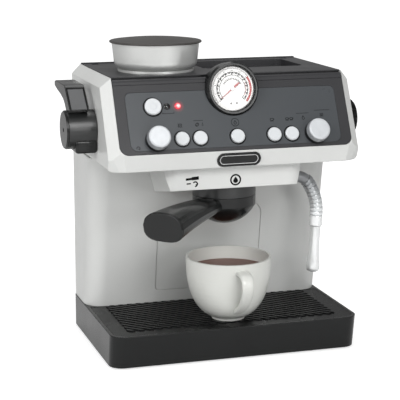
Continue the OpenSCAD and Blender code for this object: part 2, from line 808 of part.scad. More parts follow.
module hopper_lid() color("#4a4948") in_frame()
    translate([-hopper_x, hopper_y, head_top + hopper_h]) rotate_extrude() {
        r = hopper_r + lid_over;
        top_r = (r * r + lid_dome * lid_dome) / (2 * lid_dome);
        square([r - lid_t / 2, lid_t]);
        translate([r - lid_t / 2, lid_t / 2]) circle(lid_t / 2);
        intersection() {
            translate([0, lid_t + lid_dome - top_r]) circle(top_r, $fn = 256);
            translate([0, lid_t]) square([r - lid_t / 2, lid_dome + cut]);
        }
        // plug ring inside the hopper, clear of its leaning wall
        translate([hopper_r - hopper_wall - gap - hopper_lean / 2 - 1.7, -4]) square([1.7, 4.2]);
    }

// ---------------------------------------------------------------- gauge

module gauge_case() color(black) in_frame() on_gauge() difference() {
    rotate_extrude() {
        polygon([[0, -gauge_l], [gauge_r - 2, -gauge_l], [gauge_r, -gauge_l + 2], [gauge_r, -2],
            [gauge_r - 1.6, 0], [gauge_r - 3.2, 0], [dial_r + 0.2, -2.2], [dial_r + 0.2, -4.4],
            [0, -4.4]]);
    }
    // pin seat of the needle
    translate([0, 0, -7]) cylinder(r = 1.2, h = 10);
}

module gauge_dial() color(white) in_frame() on_gauge() translate([0, 0, -4.4]) difference() {
    cylinder(r = dial_r, h = 0.8);
    translate([0, 0, -cut]) cylinder(r = 1.3, h = 3 * cut);
}

// Direction of the needle on the dial, in degrees from the right, and its lengths
needle_turn = 228;
module gauge_needle() color("#c8312b") in_frame() on_gauge() translate([0, 0, -3.3]) {
    rotate(needle_turn) linear_extrude(0.5) polygon([[-9.5, -0.9], [-5, -0.8], [0, -0.5], [16, -0.2],
        [16, 0.2], [0, 0.5], [-5, 0.8], [-9.5, 0.9]]);
    translate([0, 0, -3.6]) cylinder(r = 1.15, h = 4.4);
}

module gauge_lens() color("#dfe6ea", 0.35) in_frame() on_gauge() translate([0, 0, -2.1])
    cylinder(r = dial_r + 0.1, h = 1);

// ---------------------------------------------------------------- buttons and knobs

// A round button in the panel: cap, retaining flange behind the panel, and plunger
module button(x, s, r) on_fascia() translate([x, s, 0]) rotate_extrude() {
    edge = 0.8;
    polygon([[0, button_h], [r - edge, button_h], [r, button_h - edge], [r, -fascia_t - gap],
        [r + 1, -fascia_t - gap], [r + 1, -fascia_t - gap - flange_t],
        [2, -fascia_t - gap - flange_t], [2, -fascia_t - gap - flange_t - plunger_l],
        [0, -fascia_t - gap - flange_t - plunger_l]]);
}

module power_button() color(white) in_frame() button(-knob_x, power_s, power_r);
module steam_button() color(white) in_frame() button(button_x[0], row_s, button_r);
module bean_button() color(white) in_frame() button(button_x[1], row_s, button_r);
module cup_button() color(white) in_frame() button(button_x[2], row_s, button_r);
module single_button() color(white) in_frame() button(button_x[3], row_s, button_r);
module double_button() color(white) in_frame() button(button_x[4], row_s, button_r);

// A turning knob with its shaft and the clip that holds it behind the panel
module knob(x) on_fascia() translate([x, row_s, 0]) rotate_extrude()
    polygon([[0, knob_h], [knob_r - 1.6, knob_h], [knob_r - 0.5, knob_h - 0.5],
        [knob_r, knob_h - 1.6], [knob_r + 0.5, gap], [shaft_r, gap], [shaft_r, -fascia_t - gap],
        [shaft_r + 1.6, -fascia_t - gap], [shaft_r + 1.6, -fascia_t - gap - 1.6],
        [0, -fascia_t - gap - 1.6]]);

module left_knob() color(silver) in_frame() knob(-knob_x);
module right_knob() color(silver) in_frame() knob(knob_x);

module lamp(x) on_fascia() translate([x, power_s, 0]) rotate_extrude() {
    translate([0, -fascia_t - 1]) square([led_r, fascia_t + 1.4]);
    translate([0, -fascia_t - 2]) square([led_r + 0.8, 2]);
    intersection() {
        translate([0, 0.4 - led_r]) circle(led_r * 1.41);
        translate([0, 0.3]) square([led_r, 3]);
    }
}
module power_lamp() color("#d0281e") in_frame() lamp(led_x[1]);
module spare_lamp() color("#242426") in_frame() lamp(led_x[0]);

module circuit_board() color(green) in_frame() on_fascia() translate([0, 0, -board_n - board_t])
    linear_extrude(board_t) difference() {
        union() {
            translate([-board_w / 2, 4]) square([board_w, 26]);
            translate([-board_w / 2, 26]) square([46, 28]);
        }
        for (p = board_posts()) translate(p) circle(1);
    }

// Rubber keypad on the board, with one dome under each button
module keypad() color("#3a3a3c") in_frame() on_fascia() translate([0, 0, -board_n]) {
    for (x = button_x) translate([x, row_s, 0]) rotate_extrude()
        polygon([[0, 0], [5, 0], [5, 0.8], [3.4, 0.8], [2.4, 3.1], [0, 3.1]]);
    translate([-knob_x, power_s, 0]) rotate_extrude()
        polygon([[0, 0], [5, 0], [5, 0.8], [3.4, 0.8], [2.4, 3.1], [0, 3.1]]);
    translate([button_x[0], row_s - 2, 0]) cube([button_x[4] - button_x[0], 4, 0.8]);
}

module board_screws() color(steel) in_frame() on_fascia() for (p = board_posts())
    translate([p[0], p[1], -board_n - board_t]) {
        translate([0, 0, -1.4]) cylinder(r = 2, h = 1.4);
        cylinder(r = 0.95, h = board_t + 5);
    }

// ---------------------------------------------------------------- brow and group head

// The brow's form: round front corners, sides that draw in downwards
module brow_form(inset) difference() {
    w = brow_w / 2 - inset;
    r = brow_r - inset;
    intersection() {
        translate([0, brow_y + inset, brow_z - far / 4]) linear_extrude(brow_h + far / 4)
            plate_outline(2 * w, far, r, r);
        translate([-far / 2, brow_y, brow_z + inset / cos(brow_fall)]) rotate([-brow_fall, 0, 0])
            translate([0, -far / 4, 0]) cube([far, far, far]);
        translate([0, far, 0]) rotate([90, 0, 0]) linear_extrude(2 * far) polygon([
            [-w, head_z], [w, head_z], [w - 2 * brow_h * brow_draft, head_z - 2 * brow_h],
            [-w + 2 * brow_h * brow_draft, head_z - 2 * brow_h]]);
    }
    column_block(inset);
}

// Everything behind the column's leaning front
module column_block(inset) translate([-far / 2, column_y, base_top]) rotate([column_lean, 0, 0])
    translate([0, -inset, -far / 4]) cube([far, far, far]);

module brow_block() color(stone) in_frame() difference() {
    brow_form(0);
    intersection() {
        brow_form(wall);
        translate([-far / 2, -far / 2, 0]) cube([far, far, head_z - wall]);
    }
    // opening for the group in the sloped floor
    translate([0, group_y, group_z - 6]) cylinder(r = group_r + gap, h = group_h + wall + 6.8);
    // bore of the wand's swivel
    translate([wand_x - wand_reach - stub_l - 2, wand_y, wand_z]) rotate([0, 90, 0])
        cylinder(r = wand_r + run_gap, h = 60);
}

module group_head() color(black) in_frame() translate([0, group_y, group_z]) {
    difference() {
        cylinder(r = group_r, h = group_h);
        translate([0, 0, -cut]) cylinder(r = neck_r + run_gap, h = group_h - 2 + cut);
        // ring-shaped way for the two locking lugs, and the slots that let them in
        translate([0, 0, 3.2]) cylinder(r = neck_r + 3.4, h = group_h - 5.2);
        for (a = [0, 180]) rotate(a - 90 - handle_turn - 25) translate([0, -4.5, -cut])
            cube([neck_r + 3.4, 9, group_h - 4]);
    }
    // post up to the brow's ceiling
    translate([0, 0, group_h - 0.5]) cylinder(r = 6, h = brow_h - wall + 0.5 - 0.05);
    // shower plate
    translate([0, 0, group_h - 2.6]) cylinder(r = 16, h = 1);
}

// Radius of the bowl's round underside, a shallow cap of a ball
function bowl_big() = ((group_r - 0.3) * (group_r - 0.3) + bowl_h * bowl_h) / (2 * bowl_h);

module portafilter_bowl() color(black) in_frame() translate([0, group_y, 0]) {
    difference() {
        union() {
            translate([0, 0, ring_z]) cylinder(r = group_r, h = ring_h);
            // rounded underside, set in from the ring's edge by a fine line
            translate([0, 0, ring_z]) rotate_extrude() intersection() {
                translate([0, bowl_big() - bowl_h]) circle(bowl_big(), $fn = 180);
                translate([0, -bowl_h - 1]) square([group_r - 0.3, bowl_h + 1.5]);
            }
            translate([0, 0, group_z - gap - 0.5]) cylinder(r = neck_r, h = group_h - 2);
            for (a = [0, 180]) rotate(a - 90 - handle_turn) intersection() {
                translate([0, -4, group_z + 3.8]) cube([neck_r + 3, 8, 2.6]);
                translate([0, 0, group_z]) cylinder(r = neck_r + 3, h = group_h);
            }
        }
        // basket
        translate([0, 0, ring_z + 3]) cylinder(r = neck_r - 2, h = far);
        // outlet
        for (x = [-4, 4]) translate([x, 0, bowl_z - cut]) cylinder(r = 1.6, h = 30);
    }
}

// Outline of the handle across its length: a rounded form with a flatter top
function handle_ring(s, w, h, drop) = [for (i = [0:31]) let (
        a = i * 360 / 32,
        e = 0.5,
        cx = sign(cos(a)) * pow(abs(cos(a)), e),
        cz = sign(sin(a)) * pow(abs(sin(a)), e))
    [s, cx * w / 2 * (cz > 0 ? 1 - 0.34 * cz * cz : 1 - 0.2 * cz * cz), cz * h / 2 - drop]];

handle_root = group_r - 3;
handle_z = ring_z + 2.4;
// Width, height and droop along the handle, from the ring to the end
function handle_width(t) = 27 + (handle_w - 27) * pow(t, 1.2);
function handle_height(t) = 13 + (handle_t - 13) * pow(t, 0.8);
function handle_droop(t) = 5.5 * pow(t, 2);

module along_handle() translate([0, group_y, handle_z]) rotate(-90 - handle_turn)
    children();

module portafilter_handle() color(black) in_frame() difference() {
    along_handle() loft([for (i = [0:12]) let (t = i / 12)
        handle_ring(handle_root + t * (handle_l - cap_l - handle_root), handle_width(t),
            handle_height(t), handle_droop(t))]);
    translate([0, group_y, bowl_z - 5]) cylinder(r = group_r, h = far / 4);
}

module handle_cap() color(black) in_frame() along_handle() loft([
    handle_ring(handle_l - cap_l, handle_w * cap_scale, handle_t * cap_scale, handle_droop(1)),
    handle_ring(handle_l - cap_edge, handle_w * cap_scale, handle_t * cap_scale, handle_droop(1)),
    handle_ring(handle_l, handle_w * 0.94, handle_t * 0.93, handle_droop(1))]);

// ---------------------------------------------------------------- steam wand

// The wand hangs from a stub that turns in the brow's right side
module on_wand() translate([wand_x, wand_y, wand_z]) children();

// A bent tube that starts at the origin towards +X and turns down, and what follows after it
module bend(big, turn, r) translate([0, 0, -big]) rotate([90, 0, 0]) rotate(90 - turn)
    rotate_extrude(angle = turn, $fn = 96) translate([big, 0]) circle(r, $fn = 32);
module past_bend(big, turn) translate([big * sin(turn), 0, big * (cos(turn) - 1)])
    rotate([0, turn, 0]) children();
module straight(r, l) rotate([0, 90, 0]) cylinder(r = r, h = l);
// A straight stretch that runs a little way into the bend beside it, and is a little thicker
module before_bend(r, l) straight(r, l + 1);
module after_bend(r, l) translate([-1, 0, 0]) straight(r, l + 1);
bend_slim = 0.25;

module wand_elbow() color("#55585b") in_frame() on_wand() {
    translate([-stub_l - wand_reach, 0, 0]) before_bend(wand_r, stub_l + wand_reach);
    bend(elbow_r, elbow_turn, wand_r - bend_slim);
    past_bend(elbow_r, elbow_turn) after_bend(wand_r, elbow_l);
}

module on_sleeve() on_wand() past_bend(elbow_r, elbow_turn) translate([elbow_l, 0, 0]) children();
module past_sleeve() on_sleeve() translate([sleeve_top, 0, 0]) past_bend(sleeve_r, sleeve_turn)
    translate([sleeve_foot, 0, 0]) children();

module wand_sleeve() color("#9fa2a5") in_frame() {
    core = wand_r + 0.3;
    rib = wand_r + 1;
    turn_l = sleeve_r * sleeve_turn * PI / 180;
    pitch = (sleeve_top + turn_l + sleeve_foot) / rib_n;
    on_sleeve() {
        before_bend(core, sleeve_top);
        translate([sleeve_top, 0, 0]) {
            bend(sleeve_r, sleeve_turn, core - bend_slim);
            past_bend(sleeve_r, sleeve_turn) after_bend(core, sleeve_foot);
        }
        for (i = [0:rib_n - 1]) let (s = (i + 0.5) * pitch - 1.2) {
            if (s < sleeve_top) translate([s, 0, 0]) straight(rib, 2.4);
            else if (s < sleeve_top + turn_l) translate([sleeve_top, 0, 0])
                past_bend(sleeve_r, (s - sleeve_top) / turn_l * sleeve_turn) straight(rib, 2.4);
            else translate([sleeve_top, 0, 0]) past_bend(sleeve_r, sleeve_turn)
                translate([s - sleeve_top - turn_l, 0, 0]) straight(rib, 2.4);
        }
    }
}

module wand_pipe() color(silver) in_frame() past_sleeve() rotate([0, 90, 0]) rotate_extrude()
    polygon([[0, 0], [6, 0], [6.45, 0.6], [6.45, 9.6], [6, 10.4], [5.4, 10.6], [5.2, 11.4], [5.1, 26],
        [5.1, 34], [5.5, 40], [6.3, pipe_l - 8], [6.6, pipe_l - 5], [6.5, pipe_l - 2.4],
        [5.6, pipe_l - 0.6], [4.2, pipe_l], [0, pipe_l]]);

// ---------------------------------------------------------------- side lever and steam knob

// Side pieces are drawn with +Z pointing out of the machine's left or right side
module on_side(side) translate([side * body_w / 2, axle_y, axle_z]) rotate([0, side * 90, 0])
    children();

// The lever's arm seen from the side, in distance behind and above the axle
module arm_outline() polygon([[-15, -4], [-18.6, 8], [-18, 20.4], [-13, 27], [-3, 34.5], [3, 38.6],
    [6, 39.8], [48, 40], [52.2, 38.6], [52, 34.6], [40, 31.8], [26, 29.6], [14.5, 26.6], [8, 23],
    [3, 18.4], [0.5, 14], [0, 0]]);

module tamping_lever() color(black) in_frame() {
    difference() {
        union() {
            on_side(-1) translate([0, 0, gap]) cylinder(r = hub_r, h = hub_l - 2);
            translate([-body_w / 2 - gap - hub_l + 3, axle_y, axle_z]) rotate([90, 0, 90])
                linear_extrude(arm_w) arm_outline();
            // stop lug under the hub
            translate([-body_w / 2 - gap - hub_l * 0.72, axle_y - hub_r * 0.93, axle_z - hub_r - 2.6])
                cube([hub_l * 0.72, hub_r * 1.3, 12.4]);
        }
        on_side(-1) cylinder(r = axle_r, h = hub_l - 6);
        // sunk panel in the arm's front face
        translate([-body_w / 2 - gap - hub_l + 3, axle_y, axle_z]) translate([2.2, -18, 20.4])
            rotate([37.8, 0, 0]) translate([0, 3, -1]) cube([arm_w - 4.4, 21, 10]);
    }
}

module lever_cap() color(black) in_frame() on_side(-1) translate([0, 0, gap + hub_l - 2])
    difference() {
        rotate_extrude() polygon([[0, 0], [hub_r, 0], [hub_r, 0.6], [hub_r - 1.2, 2], [0, 2]]);
        cylinder(r = 2, h = 10);
    }

module axle(side, length) on_side(side) {
    translate([0, 0, -3 - gap - 2]) cylinder(r = axle_r + 4, h = 2);
    translate([0, 0, -3 - gap - 1]) cylinder(r = axle_r, h = length + 4 + gap);
}
module lever_axle() color(steel) in_frame() axle(-1, hub_l - 6);
module steam_axle() color(steel) in_frame() axle(1, steam_l - 4);

module steam_knob() color(black) in_frame() on_side(1) translate([0, 0, gap]) difference() {
    rotate_extrude() polygon([[0, 0], [steam_r - 1, 0], [steam_r, 1], [steam_r, steam_l - 1.6],
        [steam_r - 1.6, steam_l], [0, steam_l]]);
    translate([0, 0, -gap]) cylinder(r = axle_r, h = steam_l - 4);
    for (a = [0:20:340]) rotate(a) translate([steam_r + 0.6, 0, 3])
        cylinder(r = 1.3, h = steam_l, $fn = 24);
}

// ---------------------------------------------------------------- cup

// Radius of the cup at a share u of its depth, measured down from the rim
function cup_at(u) = cup_r * pow(1 - pow(u, 2.5), 1 / 2.6);
cup_steps = 14;
// The steps crowd together towards the foot, where the wall curves most
function cup_u(i) = 0.985 * (1 - pow(1 - i / cup_steps, 1.6));

module cup_body(shrink, floor) rotate_extrude($fn = 96) polygon(concat([[0, cup_h + shrink * 0]],
    [for (i = [0:cup_steps]) let (u = cup_u(i))
        [cup_at(u) - shrink, max(cup_h * (1 - u), floor)]],
    [[0, cup_h * (1 - cup_u(cup_steps)) > floor ? cup_h * (1 - cup_u(cup_steps)) : floor]]));

function bezier(p, t) = (1 - t) * (1 - t) * (1 - t) * p[0] + 3 * (1 - t) * (1 - t) * t * p[1]
    + 3 * (1 - t) * t * t * p[2] + t * t * t * p[3];
// The strap's line seen from the side: distance in front of the axis, and height
strap_line = [[cup_r - 3, cup_h - 8], [cup_r + strap_out * 1.5, cup_h - 2],
    [cup_r + strap_out * 0.9, cup_h * 0.4], [cup_r - 14, cup_h * 0.2]];
strap_steps = 20;
function strap_dir(t) = let (d = bezier(strap_line, min(t + 0.01, 1)) - bezier(strap_line, max(t - 0.01, 0)))
    d / norm(d);
function strap_ring(t) = let (p = bezier(strap_line, t), d = strap_dir(t), n = [-d[1], d[0]],
        w = strap_w * (1 - 0.3 * t), h = strap_t)
    [for (i = [0:11]) let (a = i * 30 + 15, x = sign(cos(a)) * pow(abs(cos(a)), 0.6) * w / 2,
        m = sign(sin(a)) * pow(abs(sin(a)), 0.6) * h / 2)
        [x, -(p[0] + n[0] * m), p[1] + n[1] * m]];

module cup() color(white) in_frame() translate([0, cup_y, cup_z]) {
    difference() {
        union() {
            cup_body(0, 0);
            cylinder(r = cup_foot_r, h = 3);
            loft([for (i = [0:strap_steps]) strap_ring(i / strap_steps)]);
        }
        translate([0, 0, 0]) cup_body(cup_wall, 4);
        translate([0, 0, cup_h - 0.01]) cylinder(r = cup_r + 2, h = 10);
        // hollow under the foot
        translate([0, 0, -cut]) cylinder(r = cup_foot_r - 2.4, h = cut + 1);
    }
}

module coffee_insert() color("#4a2a1a") in_frame() translate([0, cup_y, cup_z]) intersection() {
    difference() {
        cup_body(cup_wall + 0.1, 4);
        translate([-far / 2, -far / 2, cup_h - 12]) cube(far);
    }
}

// ---------------------------------------------------------------- inside the machine

module speaker() color("#333436") in_frame() translate([0, back_y - wall, speaker_z])
    rotate([90, 0, 0]) {
        cylinder(r = speaker_r, h = 3);
        translate([0, 0, 2.5]) cylinder(r1 = speaker_r - 1, r2 = speaker_r - 6, h = 2.5);
        translate([0, 0, 4.5]) cylinder(r = speaker_r - 6, h = speaker_h - 4.5);
    }

module battery_box() color(black) in_frame() translate([0, box_y, foot_h + wall]) difference() {
    union() {
        translate([-box_x / 2, 0, 0]) cube([box_x, box_d, box_h]);
        translate([-box_x / 2 - 4, -4, 0]) cube([box_x + 8, box_d + 8, 1.5]);
    }
    translate([-box_x / 2 + box_wall, box_wall, -cut])
        cube([box_x - 2 * box_wall, box_d - 2 * box_wall, box_h - box_wall + cut]);
}

module cell_places() for (i = [0:2]) translate([0, box_y + box_wall + 0.75 + cell_r * (2 * i + 1),
    foot_h + wall + cell_r + 0.3]) children();

module batteries() color("#6d7a3c") in_frame() cell_places() rotate([0, 90, 0]) {
    translate([0, 0, -cell_l / 2]) cylinder(r = cell_r - 0.05, h = cell_l - 1.5);
    translate([0, 0, cell_l / 2 - 2]) cylinder(r = 2.7, h = 2);
}

module battery_contacts() color(steel) in_frame() cell_places() for (x = [-1, 1])
    translate([x * (cell_l / 2 + 0.75) - 0.75, -4, -4]) cube([1.5, 8, 8]);

module battery_door() color(black) in_frame() difference() {
    translate([-box_x / 2 - 1 + gap, box_y - 1 + gap, foot_h])
        cube([box_x + 2 - 2 * gap, box_d + 2 - 2 * gap, wall]);
    translate([0, door_screw_y, 0]) cylinder(r = screw_head_r, h = foot_h + 1.1);
    translate([0, door_screw_y, 0]) cylinder(r = 0.7, h = 10);
}

module door_screw() color(steel) in_frame() translate([0, door_screw_y, foot_h + 0.1]) {
    cylinder(r = screw_head_r - 0.2, h = 1);
    cylinder(r = 0.65, h = wall - 0.1);
}

module screw(l) {
    difference() {
        cylinder(r = screw_head_r, h = 1.8);
        for (a = [0, 90]) rotate(a) translate([-2, -0.4, -cut]) cube([4, 0.8, cut + 0.9]);
    }
    cylinder(r = screw_r - 0.05, h = l);
}

module housing_screws() color(steel) in_frame() for (x = [-1, 1], s = screw_places())
    translate([x * s[0], back_y - 6 + 1.8, s[1]]) rotate([90, 0, 0]) screw(back_depth + 6);

module base_screws() color(steel) in_frame() for (x = [-1, 1], y = base_screw_y)
    translate([x * base_screw_x, y, foot_h - 0.6 + 0.0]) screw(10);

base_shell();
base_bottom();
rubber_feet();
drip_plate();
column_front();
splash_panel();
back_cover();
head_housing();
fascia();
control_panel();
top_cover();
hopper_bowl();
hopper_lid();
gauge_case();
gauge_dial();
gauge_needle();
gauge_lens();
power_button();
steam_button();
bean_button();
cup_button();
single_button();
double_button();
left_knob();
right_knob();
power_lamp();
spare_lamp();
badge_plate();
brow_block();
group_head();
portafilter_bowl();
portafilter_handle();
handle_cap();
wand_elbow();
wand_sleeve();
wand_pipe();
tamping_lever();
lever_cap();
lever_axle();
steam_knob();
steam_axle();
cup();
coffee_insert();
circuit_board();
keypad();
board_screws();
speaker();
battery_box();
batteries();
battery_contacts();
battery_door();
door_screw();
housing_screws();
base_screws();
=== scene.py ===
"""Looks of the toy coffee maker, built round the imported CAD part. Metres, +Z up, front towards -Y."""
import json
import math

import bmesh
import bpy
from mathutils import Matrix, Vector


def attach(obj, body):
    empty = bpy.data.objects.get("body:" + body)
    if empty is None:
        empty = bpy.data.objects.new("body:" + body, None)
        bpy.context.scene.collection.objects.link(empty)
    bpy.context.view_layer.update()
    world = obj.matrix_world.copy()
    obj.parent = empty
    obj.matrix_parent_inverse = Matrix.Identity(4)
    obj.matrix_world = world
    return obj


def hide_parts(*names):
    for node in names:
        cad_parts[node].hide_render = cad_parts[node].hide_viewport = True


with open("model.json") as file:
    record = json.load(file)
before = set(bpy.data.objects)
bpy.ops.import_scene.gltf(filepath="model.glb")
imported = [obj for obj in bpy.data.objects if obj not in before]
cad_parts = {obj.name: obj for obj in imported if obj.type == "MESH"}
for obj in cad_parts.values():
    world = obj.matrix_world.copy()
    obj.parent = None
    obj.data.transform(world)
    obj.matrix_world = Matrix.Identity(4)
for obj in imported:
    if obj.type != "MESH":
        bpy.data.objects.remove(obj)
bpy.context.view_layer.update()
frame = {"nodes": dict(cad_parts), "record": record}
nodes = frame["nodes"]
scene = bpy.context.scene

# ---------------------------------------------------------------- places

MM = 0.001
# Places are written in machine millimetres: x from the middle, y back from the base's front edge and
# z up from the table. The part is centred on its own box, so they shift by this much
SHIFT = Vector((6.15, -60.445024, 0.0)) * MM


def place(x, y, z):
    """A point given in machine millimetres, in the shared frame."""
    return Vector((x, y, z)) * MM + SHIFT


class Face:
    """A flat face across the machine: x across, s up the face, n out of it, in millimetres."""

    def __init__(self, y, z, lean, x=0.0):
        """The face starts at x, y and z, and leans back by lean degrees."""
        self.x, self.y, self.z, self.lean = x, y, z, math.radians(lean)

    def at(self, x, s, n=0.0):
        """A point on the face, or n in front of it."""
        sine, cosine = math.sin(self.lean), math.cos(self.lean)
        return place(self.x + x, self.y + s * sine - n * cosine, self.z + s * cosine + n * sine)

    def turn(self):
        """The rotation that lays a drawing in the XY plane onto this face."""
        return Matrix.Rotation(math.radians(90) - self.lean, 4, "X")


# The control panel and the chin share the head's front edge; the gauge's face starts at its middle
EDGE_Y, EDGE_Z, PANEL_LEAN = 2.1, 198.0, 26.4
CONTROL_FACE = Face(EDGE_Y, EDGE_Z, PANEL_LEAN)
CHIN_FACE = Face(EDGE_Y, EDGE_Z, lean=-10.27)
GAUGE_FACE = Face(y=20.1, z=251.4, lean=9.7)
BROW_FACE = Face(y=14.0, z=182.0, lean=0.0)

# The panel's two rows, up its face, and the places across it of the knobs and of the lit lamp. The
# power button stands over the left knob
LOWER_ROW, UPPER_ROW = 12.8, 43.8
KNOB_X, LAMP_X = 75.5, -52.0


# ---------------------------------------------------------------- colours and shader nodes

# Sockets of a colour Mix node go by number: its share, its two colours and its result. Those of a
# math node are its terms, from 0
SHARE, FIRST, SECOND, MIXED = 0, 6, 7, 2


def linear(hex_colour):
    """An sRGB hex colour as linear RGBA."""
    parts = [int(hex_colour[i:i + 2], 16) / 255 for i in (1, 3, 5)]
    return tuple(p / 12.92 if p <= 0.04045 else ((p + 0.055) / 1.055) ** 2.4 for p in parts) + (1.0,)


def add(tree, kind, settings=None, inputs=None, links=None):
    """Adds a shader node with its settings, input values and incoming links."""
    node = tree.nodes.new(kind)
    for name, value in (settings or {}).items():
        setattr(node, name, value)
    for name, value in (inputs or {}).items():
        node.inputs[name].default_value = value
    for name, socket in (links or {}).items():
        tree.links.new(socket, node.inputs[name])
    return node


def new_material(name):
    """An empty material and its node tree."""
    material = bpy.data.materials.new(name)
    material.use_nodes = True
    tree = material.node_tree
    tree.nodes.clear()
    return material, tree


def moulded_plastic(name, colour, shade, roughness, grain_mm, depth_mm, clearcoat=0.0, edge_mm=0.5,
                    shine=0.5, painted_glow_at=None):
    """A moulded plastic: a fine spark-eroded or polished skin, slightly uneven colour, soft edges.
    The real skin's grain is 0.1 mm or less, drawn coarser so that it shows in a close view.
    The last argument, when given, is the place of a red lamp; a faint red glow round it is painted into the
    plastic as emission, painted light."""
    material, tree = new_material(name)
    where = add(tree, "ShaderNodeTexCoord").outputs["Object"]
    cloud_mm = 40
    cloud = add(tree, "ShaderNodeTexNoise",
                inputs={"Scale": 1 / (cloud_mm * MM), "Detail": 3.0, "Roughness": 0.6},
                links={"Vector": where})
    mix = add(tree, "ShaderNodeMix", {"data_type": "RGBA"}, {FIRST: linear(colour), SECOND: linear(shade)},
              {SHARE: cloud.outputs["Fac"]})
    grain = add(tree, "ShaderNodeTexNoise", inputs={"Scale": 1 / (grain_mm * MM), "Detail": 2.0},
                links={"Vector": where})
    rough = add(tree, "ShaderNodeMapRange",
                inputs={"From Min": 0.3, "From Max": 0.7, "To Min": roughness - 0.04,
                        "To Max": roughness + 0.05},
                links={"Value": cloud.outputs["Fac"]})
    edge = add(tree, "ShaderNodeBevel", {"samples": 4}, {"Radius": edge_mm * MM})
    bump = add(tree, "ShaderNodeBump", inputs={"Strength": 0.5, "Distance": depth_mm * MM},
               links={"Height": grain.outputs["Fac"], "Normal": edge.outputs["Normal"]})
    shader = add(tree, "ShaderNodeBsdfPrincipled",
                 inputs={"IOR": 1.53, "Coat Weight": clearcoat, "Coat Roughness": 0.06,
                         "Specular IOR Level": shine},
                 links={"Base Color": mix.outputs[MIXED], "Roughness": rough.outputs[0],
                        "Normal": bump.outputs[0]})
    # Painted light: the plastic gives off a faint red glow round the lamp's place
    if painted_glow_at:
        reach = add(tree, "ShaderNodeVectorMath", {"operation": "DISTANCE"}, {1: tuple(painted_glow_at)}, {0: where})
        glow = add(tree, "ShaderNodeMapRange", {"interpolation_type": "SMOOTHSTEP"},
                   {"From Min": 2.4 * MM, "From Max": 6.5 * MM, "To Min": 0.3, "To Max": 0.0},
                   {"Value": reach.outputs["Value"]})
        shader.inputs["Emission Color"].default_value = linear("#C8323C")
        tree.links.new(glow.outputs[0], shader.inputs["Emission Strength"])
    add(tree, "ShaderNodeOutputMaterial", links={"Surface": shader.outputs[0]})
    return material


def screen_print(name, colour, shade, roughness=0.5, shine=0.5):
    """A screen-printed ink: a flat film with the grain of the screen's mesh, 0.3 mm wide."""
    return moulded_plastic(name, colour, shade, roughness, grain_mm=0.3, depth_mm=0.004, shine=shine)


def lacquered_metal(name, colour, shade, roughness, flake_mm, metallic, painted_upper_shade=None):
    """Metal, or a skin with metal flakes of 0.05 mm, drawn coarser so that they show in a close view.
    The last argument, when given, is a darker colour painted as shade towards the piece's upper end, and the
    heights in millimetres where that painted shade starts and is full."""
    material, tree = new_material(name)
    where = add(tree, "ShaderNodeTexCoord").outputs["Object"]
    flake = add(tree, "ShaderNodeTexVoronoi", inputs={"Scale": 1 / (flake_mm * MM)}, links={"Vector": where})
    cloud_mm = 30
    cloud = add(tree, "ShaderNodeTexNoise", inputs={"Scale": 1 / (cloud_mm * MM), "Detail": 3.0},
                links={"Vector": where})
    mix = add(tree, "ShaderNodeMix", {"data_type": "RGBA"}, {FIRST: linear(colour), SECOND: linear(shade)},
              {SHARE: flake.outputs["Distance"]})
    # Painted shade: the colour darkens towards the upper end, between the two heights
    if painted_upper_shade:
        shaded_tone, start_mm, full_mm = painted_upper_shade
        parts = add(tree, "ShaderNodeSeparateXYZ", links={0: where})
        level = add(tree, "ShaderNodeMapRange", inputs={"From Min": start_mm * MM, "From Max": full_mm * MM},
                    links={"Value": parts.outputs["Z"]})
        mix = add(tree, "ShaderNodeMix", {"data_type": "RGBA"}, {SECOND: linear(shaded_tone)},
                  {SHARE: level.outputs[0], FIRST: mix.outputs[MIXED]})
    rough = add(tree, "ShaderNodeMapRange",
                inputs={"From Min": 0.3, "From Max": 0.7, "To Min": roughness - 0.05,
                        "To Max": roughness + 0.05},
                links={"Value": cloud.outputs["Fac"]})
    edge = add(tree, "ShaderNodeBevel", {"samples": 4}, {"Radius": 0.4 * MM})
    bump = add(tree, "ShaderNodeBump", inputs={"Strength": 0.15, "Distance": 0.01 * MM},
               links={"Height": flake.outputs["Distance"], "Normal": edge.outputs["Normal"]})
    shader = add(tree, "ShaderNodeBsdfPrincipled",
                 inputs={"Metallic": metallic, "Coat Weight": 0.25, "Coat Roughness": 0.12},
                 links={"Base Color": mix.outputs[MIXED], "Roughness": rough.outputs[0],
                        "Normal": bump.outputs[0]})
    add(tree, "ShaderNodeOutputMaterial", links={"Surface": shader.outputs[0]})
    return material


